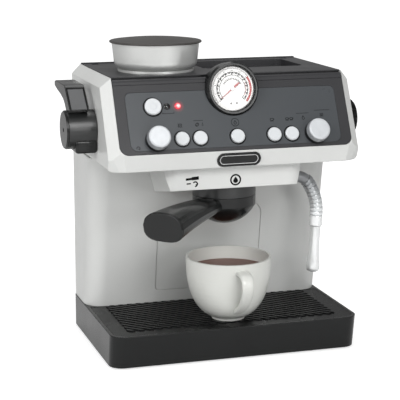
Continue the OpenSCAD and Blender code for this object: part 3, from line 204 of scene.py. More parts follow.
def turned_knob(name, x):
    """A pearl-silver knob of the panel's lower row, turned in fine rings round its axis. The rings are
    drawn 0.5 mm apart, coarser than the real 0.1 mm, so that they show in a close view."""
    knob_top, ring_mm = 12.0, 0.5
    material, tree = new_material(name)
    where = add(tree, "ShaderNodeTexCoord").outputs["Object"]
    centre = CONTROL_FACE.at(x, LOWER_ROW, knob_top)
    along = tuple((CONTROL_FACE.at(x, LOWER_ROW, knob_top + 1.0) - centre).normalized())
    offset = add(tree, "ShaderNodeVectorMath", {"operation": "SUBTRACT"}, {1: tuple(centre)}, {0: where})
    height = add(tree, "ShaderNodeVectorMath", {"operation": "DOT_PRODUCT"}, {1: along},
                 {0: offset.outputs[0]})
    axis_point = add(tree, "ShaderNodeVectorMath", {"operation": "SCALE"}, {0: along},
                     {"Scale": height.outputs["Value"]})
    radius = add(tree, "ShaderNodeVectorMath", {"operation": "DISTANCE"},
                 links={0: offset.outputs[0], 1: axis_point.outputs[0]})
    rings = add(tree, "ShaderNodeMath", {"operation": "PINGPONG"}, {1: ring_mm / 2 * MM},
                {0: radius.outputs["Value"]})
    ring_height = add(tree, "ShaderNodeMath", {"operation": "MULTIPLY"}, {1: 1 / (ring_mm / 2 * MM)},
                      {0: rings.outputs[0]})
    grain_mm = 6
    grain = add(tree, "ShaderNodeTexNoise", inputs={"Scale": 1 / (grain_mm * MM), "Detail": 2.0},
                links={"Vector": where})
    pearl = add(tree, "ShaderNodeMix", {"data_type": "RGBA"},
                {FIRST: linear("#D0D3D6"), SECOND: linear("#BCBFC2")}, {SHARE: grain.outputs["Fac"]})
    # The turned face is the brightest, and the side below its rim is painted a darker pearl as painted shade
    rim = add(tree, "ShaderNodeMapRange", inputs={"From Min": -1.4 * MM, "From Max": -0.7 * MM},
              links={"Value": height.outputs["Value"]})
    side = add(tree, "ShaderNodeMix", {"data_type": "RGBA"}, {FIRST: linear("#9A9DA0")},
               {SHARE: rim.outputs[0], SECOND: pearl.outputs[MIXED]})
    # Painted shadow: the knob's foot next to the panel is painted black for the dark gap round it, above it
    # the pearl
    foot_shade_share = add(tree, "ShaderNodeMapRange", inputs={"From Min": -7.3 * MM, "From Max": -7.1 * MM},
                links={"Value": height.outputs["Value"]})
    sprayed = add(tree, "ShaderNodeMix", {"data_type": "RGBA"}, {FIRST: linear("#121314")},
                  {SHARE: foot_shade_share.outputs[0], SECOND: side.outputs[MIXED]})
    edge = add(tree, "ShaderNodeBevel", {"samples": 4}, {"Radius": 0.5 * MM})
    bump = add(tree, "ShaderNodeBump", inputs={"Strength": 0.25, "Distance": 0.02 * MM},
               links={"Height": ring_height.outputs[0], "Normal": edge.outputs["Normal"]})
    shader = add(tree, "ShaderNodeBsdfPrincipled",
                 inputs={"Metallic": 0.2, "Roughness": 0.36, "IOR": 1.5, "Coat Weight": 0.15,
                         "Coat Roughness": 0.15},
                 links={"Base Color": sprayed.outputs[MIXED], "Normal": bump.outputs[0]})
    add(tree, "ShaderNodeOutputMaterial", links={"Surface": shader.outputs[0]})
    return material


def lit_lamp(name, centre):
    """A lit red lamp: a pale hot centre over the diode, deep red towards its rim."""
    material, tree = new_material(name)
    where = add(tree, "ShaderNodeTexCoord").outputs["Object"]
    reach = add(tree, "ShaderNodeVectorMath", {"operation": "DISTANCE"}, {1: tuple(centre)}, {0: where})
    spread = add(tree, "ShaderNodeMapRange", inputs={"From Min": 0.4 * MM, "From Max": 2.4 * MM},
                 links={"Value": reach.outputs["Value"]})
    colour = add(tree, "ShaderNodeMix", {"data_type": "RGBA"},
                 {FIRST: linear("#FFC8C8"), SECOND: linear("#B8303C")}, {SHARE: spread.outputs[0]})
    shader = add(tree, "ShaderNodeBsdfPrincipled",
                 inputs={"Roughness": 0.15, "IOR": 1.5, "Emission Strength": 1.0},
                 links={"Base Color": colour.outputs[MIXED], "Emission Color": colour.outputs[MIXED]})
    add(tree, "ShaderNodeOutputMaterial", links={"Surface": shader.outputs[0]})
    return material


def clear_moulding(name):
    """A thin clear window: nearly no body colour, a sharp weak shine and faint moulding waves."""
    material, tree = new_material(name)
    where = add(tree, "ShaderNodeTexCoord").outputs["Object"]
    wave_mm = 12
    wave = add(tree, "ShaderNodeTexNoise", inputs={"Scale": 1 / (wave_mm * MM), "Detail": 1.0},
               links={"Vector": where})
    bump = add(tree, "ShaderNodeBump", inputs={"Strength": 0.1, "Distance": 0.02 * MM},
               links={"Height": wave.outputs["Fac"]})
    shader = add(tree, "ShaderNodeBsdfPrincipled",
                 inputs={"Base Color": linear("#FFFFFF"), "Roughness": 0.03, "IOR": 1.49, "Alpha": 0.06},
                 links={"Normal": bump.outputs[0]})
    add(tree, "ShaderNodeOutputMaterial", links={"Surface": shader.outputs[0]})
    return material


# ---------------------------------------------------------------- materials

# Off-white ABS with a fine spark-eroded skin: soft, wide highlights
ivory_abs = moulded_plastic("ivory_abs_moulded", "#D6D7D5", "#CFD0CE", roughness=0.34, grain_mm=0.5,
                            depth_mm=0.02, clearcoat=0.15, edge_mm=1.0)
# Dark grey ABS, finely grained: a dull sheen on the sloped panel and the top
graphite_abs = moulded_plastic("graphite_abs_moulded", "#373739", "#323234", roughness=0.36, grain_mm=0.5,
                               depth_mm=0.02, shine=0.25)
# Lighter grey printed inlay with a satin face, and a faint red glow painted round the lit lamp as painted
# light
slate_inlay = moulded_plastic("slate_satin_inlay", "#484B4E", "#434649", roughness=0.3, grain_mm=0.4,
                              depth_mm=0.01, shine=0.28, painted_glow_at=CONTROL_FACE.at(LAMP_X, UPPER_ROW))
# Polished black ABS: sharp reflections on the handle and the lever
black_abs = moulded_plastic("black_abs_polished", "#191A1A", "#131414", roughness=0.2, grain_mm=0.8,
                            depth_mm=0.004, edge_mm=0.6, shine=0.36)
# The lever's hub and the group head: the same black, painted a little lighter as painted sheen, with wider
# highlights
hub_abs = moulded_plastic("black_hub_abs_satin", "#222323", "#1C1D1D", roughness=0.3, grain_mm=0.8,
                          depth_mm=0.004, edge_mm=0.6, shine=0.6)
# The base's polished black ABS: a sharp but weak mirror image of the board it stands on
base_abs = moulded_plastic("black_base_abs_polished", "#1F2020", "#191A1A", roughness=0.16, grain_mm=0.7,
                           depth_mm=0.004, edge_mm=1.6, shine=0.26)
# The tray plate and the side knob: the same black, painted darker as painted shade, with a duller skin
plate_abs = moulded_plastic("black_plate_abs_satin", "#0C0D0D", "#090A0A", roughness=0.26, grain_mm=0.5,
                            depth_mm=0.01, edge_mm=0.4, shine=0.16)
# Black ABS with a fine grain, on hidden and lower pieces: a soft, dull black
satin_black_abs = moulded_plastic("black_abs_grained", "#141414", "#101011", roughness=0.45, grain_mm=0.5,
                                  depth_mm=0.02)
# Silver lacquer over plastic: fine flakes and a soft metallic sheen
silver_lacquer = lacquered_metal("silver_lacquer_sprayed", "#D5D6D4", "#C8C9C7", roughness=0.34,
                                 flake_mm=0.35, metallic=0.5)
# Brighter silver on the wand's pipe: a clear, narrow highlight
bright_lacquer = lacquered_metal("bright_silver_lacquer_sprayed", "#FCFDFD", "#F4F6F6", roughness=0.22,
                                 flake_mm=0.3, metallic=0.5)
# Grey sleeve, moulded with flakes in the plastic: bright ribs, with painted shade darkening its upper end
grey_sleeve = lacquered_metal("grey_sleeve_moulded", "#F8FAFB", "#E8EBEC", roughness=0.26, flake_mm=0.3,
                              metallic=0.6, painted_upper_shade=("#A4A7A9", 126.0, 156.0))
# The wand's elbow, painted dark grey for the shade it lies in under the brow: fewer flakes and a faint sheen
shaded_elbow_grey = lacquered_metal("elbow_painted_shade_grey", "#939597", "#86888A", roughness=0.38, flake_mm=0.3,
                             metallic=0.3)
# Warm grey ABS of the hopper's lid, finely grained: a dull sheen
lid_abs = moulded_plastic("warm_grey_abs_moulded", "#494745", "#413F3D", roughness=0.4, grain_mm=0.5,
                          depth_mm=0.01, shine=0.25)
# Glossy white ABS of the buttons: bright, smooth caps
white_abs = moulded_plastic("white_abs_polished", "#D3D6D8", "#CBCED0", roughness=0.24, grain_mm=0.6,
                            depth_mm=0.004, clearcoat=0.2)
# Pearl-white cup: polished, with a faint warm cast
cup_abs = moulded_plastic("pearl_cup_abs_polished", "#DADBD6", "#D1D2CD", roughness=0.36, grain_mm=0.6,
                          depth_mm=0.004, clearcoat=0.1, edge_mm=0.8)
# Brown ABS insert that stands for coffee: smooth, with a weak shine
coffee_abs = moulded_plastic("brown_insert_polished", "#6A3218", "#4E2310", roughness=0.3, grain_mm=0.8,
                             depth_mm=0.01, shine=0.25)
# Matt white print of the dial: flat and bright
dial_print = moulded_plastic("white_dial_print", "#FDFCFA", "#F8F7F4", roughness=0.5, grain_mm=0.4,
                             depth_mm=0.004)
# Red ABS of the gauge's needle: a smooth, strong colour
needle_abs = moulded_plastic("red_needle_moulded", "#B41C1A", "#A81816", roughness=0.3, grain_mm=0.4,
                             depth_mm=0.004)
# Dark clear plastic of the unlit lamp: one small sharp highlight
lamp_dark = moulded_plastic("dark_lamp_moulded", "#141415", "#101011", roughness=0.15, grain_mm=0.4,
                            depth_mm=0.004, clearcoat=0.3)
# Moulded rubber of the feet: dark and matt
foot_rubber = moulded_plastic("dark_rubber_moulded", "#262626", "#1F1F1F", roughness=0.7, grain_mm=0.6,
                              depth_mm=0.03)
# Glass-fibre laminate of the circuit board: a satin green lacquer
board_laminate = moulded_plastic("green_board_laminate", "#2D6B43", "#255A38", roughness=0.35, grain_mm=0.6,
                                 depth_mm=0.01)
# Silicone of the keypad: soft grey with hardly a highlight
keypad_silicone = moulded_plastic("grey_silicone_moulded", "#444446", "#3C3C3E", roughness=0.6, grain_mm=0.5,
                                  depth_mm=0.02)
# Shrunk PVC sleeve of the cells: smooth olive green
cell_sleeve = moulded_plastic("green_battery_sleeve", "#5E6A35", "#535E2E", roughness=0.35, grain_mm=0.6,
                              depth_mm=0.004)
# Zinc-plated steel of the screws and contacts: a cloudy, dull metal
zinc_steel = lacquered_metal("zinc_plated_steel", "#A7A8AA", "#98999B", roughness=0.35, flake_mm=0.3,
                             metallic=1.0)
# Satin grey field let into the lever: partly its own grey, partly painted highlight, lightened for the shine
# on the lever's slope
lever_grey_and_sheen = moulded_plastic("lever_field_satin", "#545556", "#4E4F50", roughness=0.35, grain_mm=0.4,
                             depth_mm=0.006)
# Clear acrylic of the gauge's window: only its shine shows
clear_lens = clear_moulding("clear_lens_moulded")
# Red clear plastic of the lit lamp: it glows from 1 mm out of the panel
lamp_red = lit_lamp("red_lamp_moulded", CONTROL_FACE.at(LAMP_X, UPPER_ROW, 1.0))
# Screen-printed inks: crisp flat marks, the dark ones with hardly any shine
dark_ink = screen_print("dark_screen_print", "#17181A", "#131415", shine=0.2)
black_ink = screen_print("black_screen_print", "#040404", "#060606", shine=0.1)
pale_ink = screen_print("pale_screen_print", "#C9CDD1", "#BFC3C7")
white_ink = screen_print("white_screen_print", "#EDEDED", "#E4E4E4", roughness=0.45)
red_ink = screen_print("red_screen_print", "#B8231F", "#AC1E1A", roughness=0.45)
pink_ink = screen_print("thin_red_screen_print", "#E08A8A", "#DA8080")

# The finish of each material slot in the part, and the nodes that have a finish of their own
FINISH = {
    "ivory_plastic": ivory_abs, "graphite_plastic": graphite_abs, "slate_panel": slate_inlay,
    "black_gloss": black_abs, "black_satin": satin_black_abs, "silver_paint": silver_lacquer,
    "grey_sleeve": grey_sleeve, "lid_plastic": lid_abs, "white_button": white_abs, "cup_white": cup_abs,
    "coffee_brown": coffee_abs, "dial_print": dial_print, "needle_red": needle_abs,
    "clear_lens": clear_lens, "lamp_red": lamp_red, "lamp_dark": lamp_dark, "foot_rubber": foot_rubber,
    "board_green": board_laminate, "keypad_rubber": keypad_silicone, "steel": zinc_steel,
    "cell_wrap": cell_sleeve,
}
OWN_FINISH = {
    "base_shell": base_abs, "drip_plate": plate_abs, "steam_knob": plate_abs, "wand_pipe": bright_lacquer,
    "wand_elbow": shaded_elbow_grey, "group_head": hub_abs,
    "left_knob": turned_knob("left_knob_turned_pearl", -KNOB_X),
    "right_knob": turned_knob("right_knob_turned_pearl", KNOB_X),
}
for entry in frame["record"]["subparts"]:
    for slot in nodes[entry["node"]].material_slots:
        slot.material = OWN_FINISH.get(entry["node"], FINISH[entry["material_slot"]])


# ---------------------------------------------------------------- making pieces

def skin(mesh, rings, closed=False):
    """Adds a solid through rings of points: a loop where it is closed, or else with a cap at each end.
    Gives back its side faces."""
    rings = [[mesh.verts.new(point) for point in ring] for ring in rings]
    sides = []
    for here, there in zip(rings, rings[1:] + rings[:1] if closed else rings[1:]):
        for i in range(len(here)):
            j = (i + 1) % len(here)
            sides.append(mesh.faces.new((here[i], here[j], there[j], there[i])))
    if not closed:
        mesh.faces.new(rings[0][::-1])
        mesh.faces.new(rings[-1])
    return sides


def new_piece(name, mesh, finish, body):
    """Turns mesh data into a piece of one finish that rides on a body."""
    bmesh.ops.recalc_face_normals(mesh, faces=mesh.faces)
    data = bpy.data.meshes.new(name)
    mesh.to_mesh(data)
    mesh.free()
    data.materials.append(finish)
    piece = bpy.data.objects.new(name, data)
    scene.collection.objects.link(piece)
    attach(piece, body)
    return piece


def rounded_piece(name, mesh, finish, body, bevel_mm, segments):
    """A piece with rounded edges and smooth faces between them."""
    piece = new_piece(name, mesh, finish, body)
    bevel = piece.modifiers.new("edges", "BEVEL")
    bevel.width, bevel.segments, bevel.limit_method = bevel_mm * MM, segments, "ANGLE"
    bevel.angle_limit = math.radians(30)
    for face in piece.data.polygons:
        face.use_smooth = True
    piece.data.set_sharp_from_angle(angle=math.radians(32))
    return piece


def ribbon(points, width):
    """The two long sides of a stroke along points, square at its ends."""
    left, right = [], []
    for i, (x, y) in enumerate(points):
        ahead = points[min(i + 1, len(points) - 1)]
        behind = points[max(i - 1, 0)]
        dx, dy = ahead[0] - behind[0], ahead[1] - behind[1]
        length = math.hypot(dx, dy)
        across = (-dy / length * width / 2, dx / length * width / 2)
        left.append((x + across[0], y + across[1]))
        right.append((x - across[0], y - across[1]))
    return left, right


def ink(name, face, lift, strokes, plates, finish, body, thick=0.06):
    """A printed mark that ends lift out of a face: strokes are (points, width), plates are outlines."""
    mesh = bmesh.new()
    low = lift - thick
    for points, width in strokes:
        skin(mesh, [[face.at(*left, lift), face.at(*right, lift), face.at(*right, low), face.at(*left, low)]
                    for left, right in zip(*ribbon(points, width))])
    for outline in plates:
        skin(mesh, [[face.at(x, s, n) for x, s in outline] for n in (low, lift)])
    return new_piece(name, mesh, finish, body)


def arc(radius, start, end, steps, x=0.0, y=0.0):
    """Points along an arc, angles in degrees."""
    turn = [math.radians(start + (end - start) * i / steps) for i in range(steps + 1)]
    return [(x + radius * math.cos(a), y + radius * math.sin(a)) for a in turn]


def disc(radius, x, y, steps=24):
    """A filled round dot, as the closed outline of its rim."""
    return arc(radius, 0, 360 * (steps - 1) / steps, steps - 1, x, y)


def spoke(angle, low, high):
    """A line away from the origin at an angle in degrees, between two radii."""
    turn = math.radians(angle)
    return [(radius * math.cos(turn), radius * math.sin(turn)) for radius in (low, high)]


# ---------------------------------------------------------------- control panel

# Line drawings as (points, width), in millimetres: a cup, a bean, steam, a drop and a turning arrow
CUP_OUTLINE = [(-1.9, 1.3), (-1.7, -0.6), (-1.0, -1.3), (1.0, -1.3), (1.7, -0.6), (1.9, 1.3), (-1.9, 1.3)]
CUP_MARK = [(CUP_OUTLINE, 0.4), (arc(0.8, -80, 80, 8, 1.9, 0.3), 0.35), ([(-2.2, -1.9), (2.2, -1.9)], 0.35)]
BEAN_MARK = [([(1.6 * math.cos(a) - 0.7 * math.sin(a), 1.2 * math.sin(a) + 1.2 * math.cos(a))
               for a in [math.radians(15 * i) for i in range(25)]], 0.4),
             ([(-1.0, -1.2), (-0.2, -0.4), (0.2, 0.4), (1.0, 1.2)], 0.35)]
STEAM_MARK = [([(x + 0.45 * math.sin(y * 2.2), y) for y in [-2 + 0.4 * i for i in range(11)]], 0.4)
              for x in (-1.5, 0, 1.5)]
DROP_OUTLINE = [(0, 2.2), (-0.9, 0.6), (-1.3, -0.5), (-0.9, -1.5), (0, -1.9), (0.9, -1.5), (1.3, -0.5),
                (0.9, 0.6)]
DROP_MARK = [(DROP_OUTLINE + DROP_OUTLINE[:1], 0.4)]
TURN_MARK = [(arc(1.8, 200, -60, 16), 0.45), ([(0.1, -1.1), (0.95, -1.6), (1.5, -0.7)], 0.45)]

# Each drawing on the panel with its place across, its place up the panel and its size
PANEL_MARKS = ((STEAM_MARK, -52.7, 25.4, 0.9), (BEAN_MARK, -36.6, 25.6, 0.9), (CUP_MARK, 34.9, 27.2, 0.8),
               (CUP_MARK, 49.6, 27.2, 0.7), (CUP_MARK, 53.8, 27.2, 0.7), (DROP_MARK, 65.6, 27.6, 0.9),
               (STEAM_MARK, 84.0, 29.6, 0.8), (TURN_MARK, -93.4, 6.2, 0.8), (DROP_MARK, -0.6, 26.0, 0.9))
# The ring round the middle drop, and the thin lines over the buttons
PANEL_LINES = [(arc(3.6, 0, 360, 32, -0.6, 26.2), 0.4),
               ([(-67.4, 37.2), (-56.6, 37.2)], 0.3), ([(-67.4, 37.2), (-67.4, 38.4)], 0.3),
               ([(-56.6, 37.2), (-56.6, 38.4)], 0.3), ([(-39.6, 29.4), (-30.6, 29.4)], 0.3),
               ([(-31.2, 27.2), (-31.2, 24.2), (-32.4, 25.2)], 0.35),
               ([(59.4, 32.0), (71.6, 32.0)], 0.3), ([(77.4, 34.2), (92.6, 34.2)], 0.3)]
# Strokes are drawn half as wide again as real ones, so that they show
MARK_WEIGHT = 1.5
# The inks end just under the control face, because the inlay is let into it
INLAY_LIFT = -0.06
# Each button that comes through the inlay: its place across, its row and its radius
BUTTONS = {"power": (-KNOB_X, UPPER_ROW, 7.7), "steam": (-52.2, LOWER_ROW, 6.4),
           "bean": (-35.2, LOWER_ROW, 6.4), "cup": (0.0, LOWER_ROW, 6.4),
           "single": (35.2, LOWER_ROW, 6.4), "double": (52.2, LOWER_ROW, 6.4)}
# The ring of painted shadow round a button, in black ink: how far its middle line lies out of the button's
# side, and its width
SHADOW_RING_OUT, SHADOW_RING_WIDTH = 0.9, 1.0
# How far the print on the power button ends out of the control face
POWER_BUTTON_LIFT = 2.63


def around(strokes, x, s, size):
    """Moves and scales a drawing made round the origin."""
    return [([(x + px * size, s + py * size) for px, py in points], width) for points, width in strokes]


def panel_prints():
    """The panel's small signs, a black ring of painted shadow round each button and the power button's sign.
    """
    strokes = sum([around(*mark) for mark in PANEL_MARKS], []) + PANEL_LINES
    ink("control_panel_marks", CONTROL_FACE, INLAY_LIFT,
        [(points, width * MARK_WEIGHT) for points, width in strokes], [], dark_ink, "machine")
    # Painted shadow: a black ink ring round each button's opening, where the gap lies in shade
    for name, (x, row, radius) in BUTTONS.items():
        shadow_ring = arc(radius + SHADOW_RING_OUT, 0, 360, 48, x, row)
        ink("button_shadow_ring_" + name, CONTROL_FACE, INLAY_LIFT, [(shadow_ring, SHADOW_RING_WIDTH)], [], black_ink,
            "machine")
    # An open ring and a bar, drawn on the button's own top
    button_face = Face(EDGE_Y, EDGE_Z, PANEL_LEAN, x=-KNOB_X)
    ink("power_button_sign", button_face, POWER_BUTTON_LIFT,
        [(arc(2.9, 125, 415, 28, 0, UPPER_ROW), 0.45),
         ([(0, UPPER_ROW + 1.6), (0, UPPER_ROW + 4.2)], 0.45)],
        [], pale_ink, "btn_power", 0.08)


# ---------------------------------------------------------------- gauge

# The scale runs clockwise between these angles in degrees; the ring outside its last stretch is red
SCALE_START, RED_START, SCALE_END = 222.0, 36.0, -42.0
SCALE_SWEEP = SCALE_END - SCALE_START
# Radii of the printed rings, in millimetres
INNER_RING, SHORT_TICK, BLOCK_RING, OUTER_RING, NUMBER_RING, RED_RING = 12.3, 13.9, 14.3, 15.0, 16.4, 17.5
RIM_START, RIM_END, THIN_RED_RING = 17.9, 19.2, 12.9
# The arch of ticks inside: its ring, its ticks' end and its angles
ARCH_RING, ARCH_RIM, ARCH_START, ARCH_END = 8.6, 9.9, 150, 30
# The dial lies behind the gauge's face; its inks end a little in front of it, and the needle further
DIAL_TOP = -3.6
DIAL_LIFT, NUMBER_LIFT = DIAL_TOP + 0.05, DIAL_TOP + 0.04
NEEDLE_LIFT, CAP_LIFT = DIAL_TOP + 1.0, DIAL_TOP + 1.25
NUMBER_SIZE, NUMBER_THICK = 2.4, 0.02
NEEDLE_TURN = math.radians(218)
# Half of the needle's outline, as distance along it and half width: a thin pointer, a broad tail
POINTER = [(14.0, 0.15), (1.5, 0.45), (-2.2, 0.45), (-2.2, 0.75), (-8.2, 0.75)]


def scale_marks():
    """Two rings with ticks and small blocks between them, and an arch of ticks inside."""
    divisions, blocks, arch_ticks = 50, 20, 12
    marks = [(arc(radius, SCALE_START, SCALE_END, 72), 0.5) for radius in (INNER_RING, OUTER_RING)]
    for i in range(divisions + 1):
        start, width = (INNER_RING, 0.8) if i % 5 == 0 else (SHORT_TICK, 0.46)
        marks.append((spoke(SCALE_START + SCALE_SWEEP * i / divisions, start, OUTER_RING), width))
    for i in range(blocks):
        angle = SCALE_START + SCALE_SWEEP * i / blocks
        marks.append((arc(BLOCK_RING, angle, angle + SCALE_SWEEP / blocks / 2, 3), 1.3))
    marks.append((arc(ARCH_RING, ARCH_START, ARCH_END, 30), 0.4))
    for i in range(arch_ticks + 1):
        angle = ARCH_START + (ARCH_END - ARCH_START) * i / arch_ticks
        marks.append((spoke(angle, ARCH_RING, ARCH_RIM), 0.6))
    return marks


def dial_number(i):
    """The i-th of the scale's even numbers, standing on the scale."""
    angle = math.radians(SCALE_START + SCALE_SWEEP * i / 10)
    text = bpy.data.curves.new("dial_number_%d" % i, "FONT")
    text.body, text.size, text.extrude = str(2 * i), NUMBER_SIZE * MM, NUMBER_THICK * MM
    text.align_x, text.align_y = "CENTER", "CENTER"
    text.materials.append(dark_ink)
    number = bpy.data.objects.new("dial_number_%d" % i, text)
    middle = GAUGE_FACE.at(NUMBER_RING * math.cos(angle), NUMBER_RING * math.sin(angle), NUMBER_LIFT)
    number.matrix_world = (Matrix.Translation(middle) @ GAUGE_FACE.turn()
                           @ Matrix.Rotation(angle - math.radians(90), 4, "Z"))
    scene.collection.objects.link(number)
    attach(number, "machine")


def gauge_prints():
    """The dial's black scale with two small dots, its outer ticks, its red lines and its numbers."""
    ink("dial_scale", GAUGE_FACE, DIAL_LIFT, scale_marks(), [disc(0.8, -1.9, -13.4), disc(0.8, 3.6, -13.2)],
        black_ink, "machine")
    rim_ticks = 60
    rim = [(spoke(SCALE_START + (RED_START - SCALE_START) * i / rim_ticks, RIM_START, RIM_END), 0.42)
           for i in range(rim_ticks + 1)]
    ink("dial_outer_scale", GAUGE_FACE, DIAL_LIFT, rim, [], dark_ink, "machine")
    ink("dial_red_zone", GAUGE_FACE, DIAL_LIFT, [(arc(RED_RING, RED_START, SCALE_END, 40), 2.0)], [], red_ink,
        "machine")
    ink("dial_thin_red_line", GAUGE_FACE, DIAL_LIFT, [(arc(THIN_RED_RING, 24, -30, 24), 0.3)], [],
        pink_ink, "machine")
    for i in range(8):
        dial_number(i)


def gauge_needle():
    """A thin pointer and a broader tail, broken by the light cap of the needle's pin."""
    along = (math.cos(NEEDLE_TURN), math.sin(NEEDLE_TURN))
    side = (-along[1], along[0])
    outline = [(along[0] * r + side[0] * w, along[1] * r + side[1] * w)
               for r, w in POINTER + [(r, -w) for r, w in POINTER[::-1]]]
    needle = ink("needle_blade", GAUGE_FACE, NEEDLE_LIFT, [], [outline], needle_abs, "needle",
                 0.5)
    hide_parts("gauge_needle")
    ink("needle_pin_cap", GAUGE_FACE, CAP_LIFT, [], [disc(1.9, 0, 0, 32)], dial_print,
        "needle", 0.4)


# ---------------------------------------------------------------- badge and brow

# The bare badge's line runs round two arcs, just inside the badge's raised rim
BADGE_S, BADGE_END_X, BADGE_LINE_R = -9.0, 14.1, 3.9
# How far the inks end out of the chin, on the badge, and out of the brow
BADGE_LIFT, BROW_LIFT = 0.66, 0.05
# Middle of the ring on the brow
RING_X, RING_S = 0.3, -13.6


def badge_line():
    """A thin light line on the bare badge."""
    line = (arc(BADGE_LINE_R, 90, 270, 20, -BADGE_END_X, BADGE_S)
            + arc(BADGE_LINE_R, -90, 90, 20, BADGE_END_X, BADGE_S))
    ink("badge_line", CHIN_FACE, BADGE_LIFT, [(line + line[:2], 0.5)], [], white_ink,
        "machine")


def brow_signs():
    """Two generic signs on the brow: a handle that turns, and a drop in a ring."""
    handle_sign = [([(-47.2, -10.9), (-41.0, -10.5)], 2.1), ([(-41.4, -10.4), (-34.8, -9.9)], 3.1),
                   ([(-46.4, -15.0), (-42.4, -14.8)], 1.2), (arc(2.0, 150, -60, 14, -38.2, -15.4), 1.3),
                   ([(-38.4, -17.9), (-36.9, -17.2), (-37.4, -15.7)], 1.2)]
    ring_sign = [(arc(4.6, 0, 360, 40, RING_X, RING_S), 1.5)]
    drop = [(RING_X + x * 1.9, RING_S - 0.2 + y * 1.5) for x, y in DROP_OUTLINE]
    ink("brow_handle_sign", BROW_FACE, BROW_LIFT, handle_sign, [], black_ink, "machine")
    ink("brow_ring_sign", BROW_FACE, BROW_LIFT, ring_sign, [drop], black_ink, "machine")


# ---------------------------------------------------------------- side lever

AXLE_Y, AXLE_Z = 66.0, 213.4
AXLE_HOLE_R, HUB_R, HUB_LENGTH = 5.3, 17.75, 26.0
HUB_X = -119.8
ARM_X, STOP_X = (-144.7, -126.4), (-139.9, -119.9)
# Side views, as distance behind and above the axle. The arm's first edge is its long front slope
ARM_SIDE = [(-15.0, 19.2), (5.6, 38.2), (8.0, 39.7), (48.0, 39.9), (52.1, 38.5), (51.9, 34.7), (40.0, 31.9),
            (26.0, 29.7), (14.5, 26.7), (8.0, 23.1), (3.0, 18.5), (0.6, 14.0), (-6.0, 14.0), (-6.5, 18.3)]
STOP_SIDE = [(-16.5, -20.3), (6.5, -20.3), (6.5, -8.1), (-16.5, -8.1)]
SLOPE_FACE = Face(AXLE_Y + ARM_SIDE[0][0], AXLE_Z + ARM_SIDE[0][1], lean=47.3, x=sum(ARM_X) / 2)
# The grey field, across the slope and up it, and the rim and depth of the pocket that it lies in
FIELD = [(-6.9, 1.9), (7.3, 1.9), (7.3, 25.8), (-6.9, 25.8)]
POCKET_RIM, POCKET_DEPTH = 1.7, 1.6
FIELD_LIFT, FIELD_THICK = -0.7, 0.8


def lever_prism(outline, x_range):
    """A solid across a range of x with an outline as its side view, and its side faces."""
    mesh = bmesh.new()
    sides = skin(mesh, [[place(x, AXLE_Y + y, AXLE_Z + z) for y, z in outline] for x in x_range])
    return mesh, sides


def lever_barrel(profile, x0, steps=96):
    """A turned ring about the axle; the profile is in radius and distance out of the machine's side."""
    mesh = bmesh.new()
    turns = [2 * math.pi * i / steps for i in range(steps)]
    skin(mesh, [[place(x0 - out, AXLE_Y + r * math.cos(a), AXLE_Z + r * math.sin(a)) for r, out in profile]
                for a in turns], closed=True)
    return mesh


def side_lever():
    """The tamping lever: an arm that ends over its hub's top, the hub, and a stop below."""
    arm_mesh, arm_sides = lever_prism(ARM_SIDE, ARM_X)
    bmesh.ops.recalc_face_normals(arm_mesh, faces=arm_mesh.faces)
    slope = arm_sides[0]
    bmesh.ops.inset_individual(arm_mesh, faces=[slope], thickness=POCKET_RIM * MM)
    pocket = bmesh.ops.extrude_discrete_faces(arm_mesh, faces=[slope])["faces"][0]
    bmesh.ops.translate(arm_mesh, verts=pocket.verts, vec=-pocket.normal * POCKET_DEPTH * MM)
    arm = rounded_piece("lever_arm", arm_mesh, black_abs, "lever", bevel_mm=0.5, segments=3)
    hub_profile = [(AXLE_HOLE_R, 0), (HUB_R, 0), (HUB_R, HUB_LENGTH), (AXLE_HOLE_R, HUB_LENGTH)]
    hub = rounded_piece("lever_hub", lever_barrel(hub_profile, HUB_X), hub_abs, "lever",
                        bevel_mm=0.6, segments=3)
    stop = rounded_piece("lever_stop", lever_prism(STOP_SIDE, STOP_X)[0], black_abs, "lever",
                         bevel_mm=2.6, segments=5)
    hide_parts("tamping_lever")
    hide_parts("tamping_lever")
    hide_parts("tamping_lever")
    # The field's light grey is partly painted highlight
    ink("lever_field", SLOPE_FACE, FIELD_LIFT, [], [FIELD], lever_grey_and_sheen, "lever", FIELD_THICK)


# ---------------------------------------------------------------- steam wand

# The wand's middle line: straight out of the brow, an elbow, a short straight, the sleeve's bend and
# the straight pipe
WAND_X, WAND_Y, WAND_Z = 72.69, 50.0, 161.0
ELBOW_BEND_R, ELBOW_TURN = 16.0, math.radians(63)
STRAIGHT = 6.2
SLEEVE_BEND_R, SLEEVE_TURN = 44.0, math.radians(30)
# Places along that line: the elbow tube's straight start inside the brow, and its end in the sleeve
TUBE_STUB, TUBE_END = [-25.0, -12.0, 0.0], 11.0
SLEEVE_TAIL = 2.4
SLEEVE_END = ELBOW_BEND_R * ELBOW_TURN + STRAIGHT + SLEEVE_BEND_R * SLEEVE_TURN + SLEEVE_TAIL
# Longer than the rest of the wand
ENDLESS = 1000.0
TUBE_R, SLEEVE_R = 5.5, 5.6
# The ribs' number and height, the share of a rib's half pitch where it ends, and how square it is
RIBS, RIB_RISE, RIB_SHARE, RIB_POWER = 9, 0.75, 0.46, 8
# The sleeve starts over the tube's end and stops short of the pipe's start by these lengths
SLEEVE_LAP, SLEEVE_GAP = 0.2, 0.1
WAND_STEPS = 48
# Profile of the pipe, as distance past the sleeve's end and radius: a collar, a waist, a swollen tip
PIPE = [(0.0, 5.8), (0.5, 6.35), (9.6, 6.35), (10.3, 5.9), (10.6, 5.35), (11.4, 5.05), (20.0, 4.95),
        (30.0, 5.0), (38.0, 5.3), (44.0, 5.9), (48.0, 6.35), (51.0, 6.5), (53.0, 6.35), (54.6, 5.6),
        (55.3, 4.4), (55.5, 3.2)]


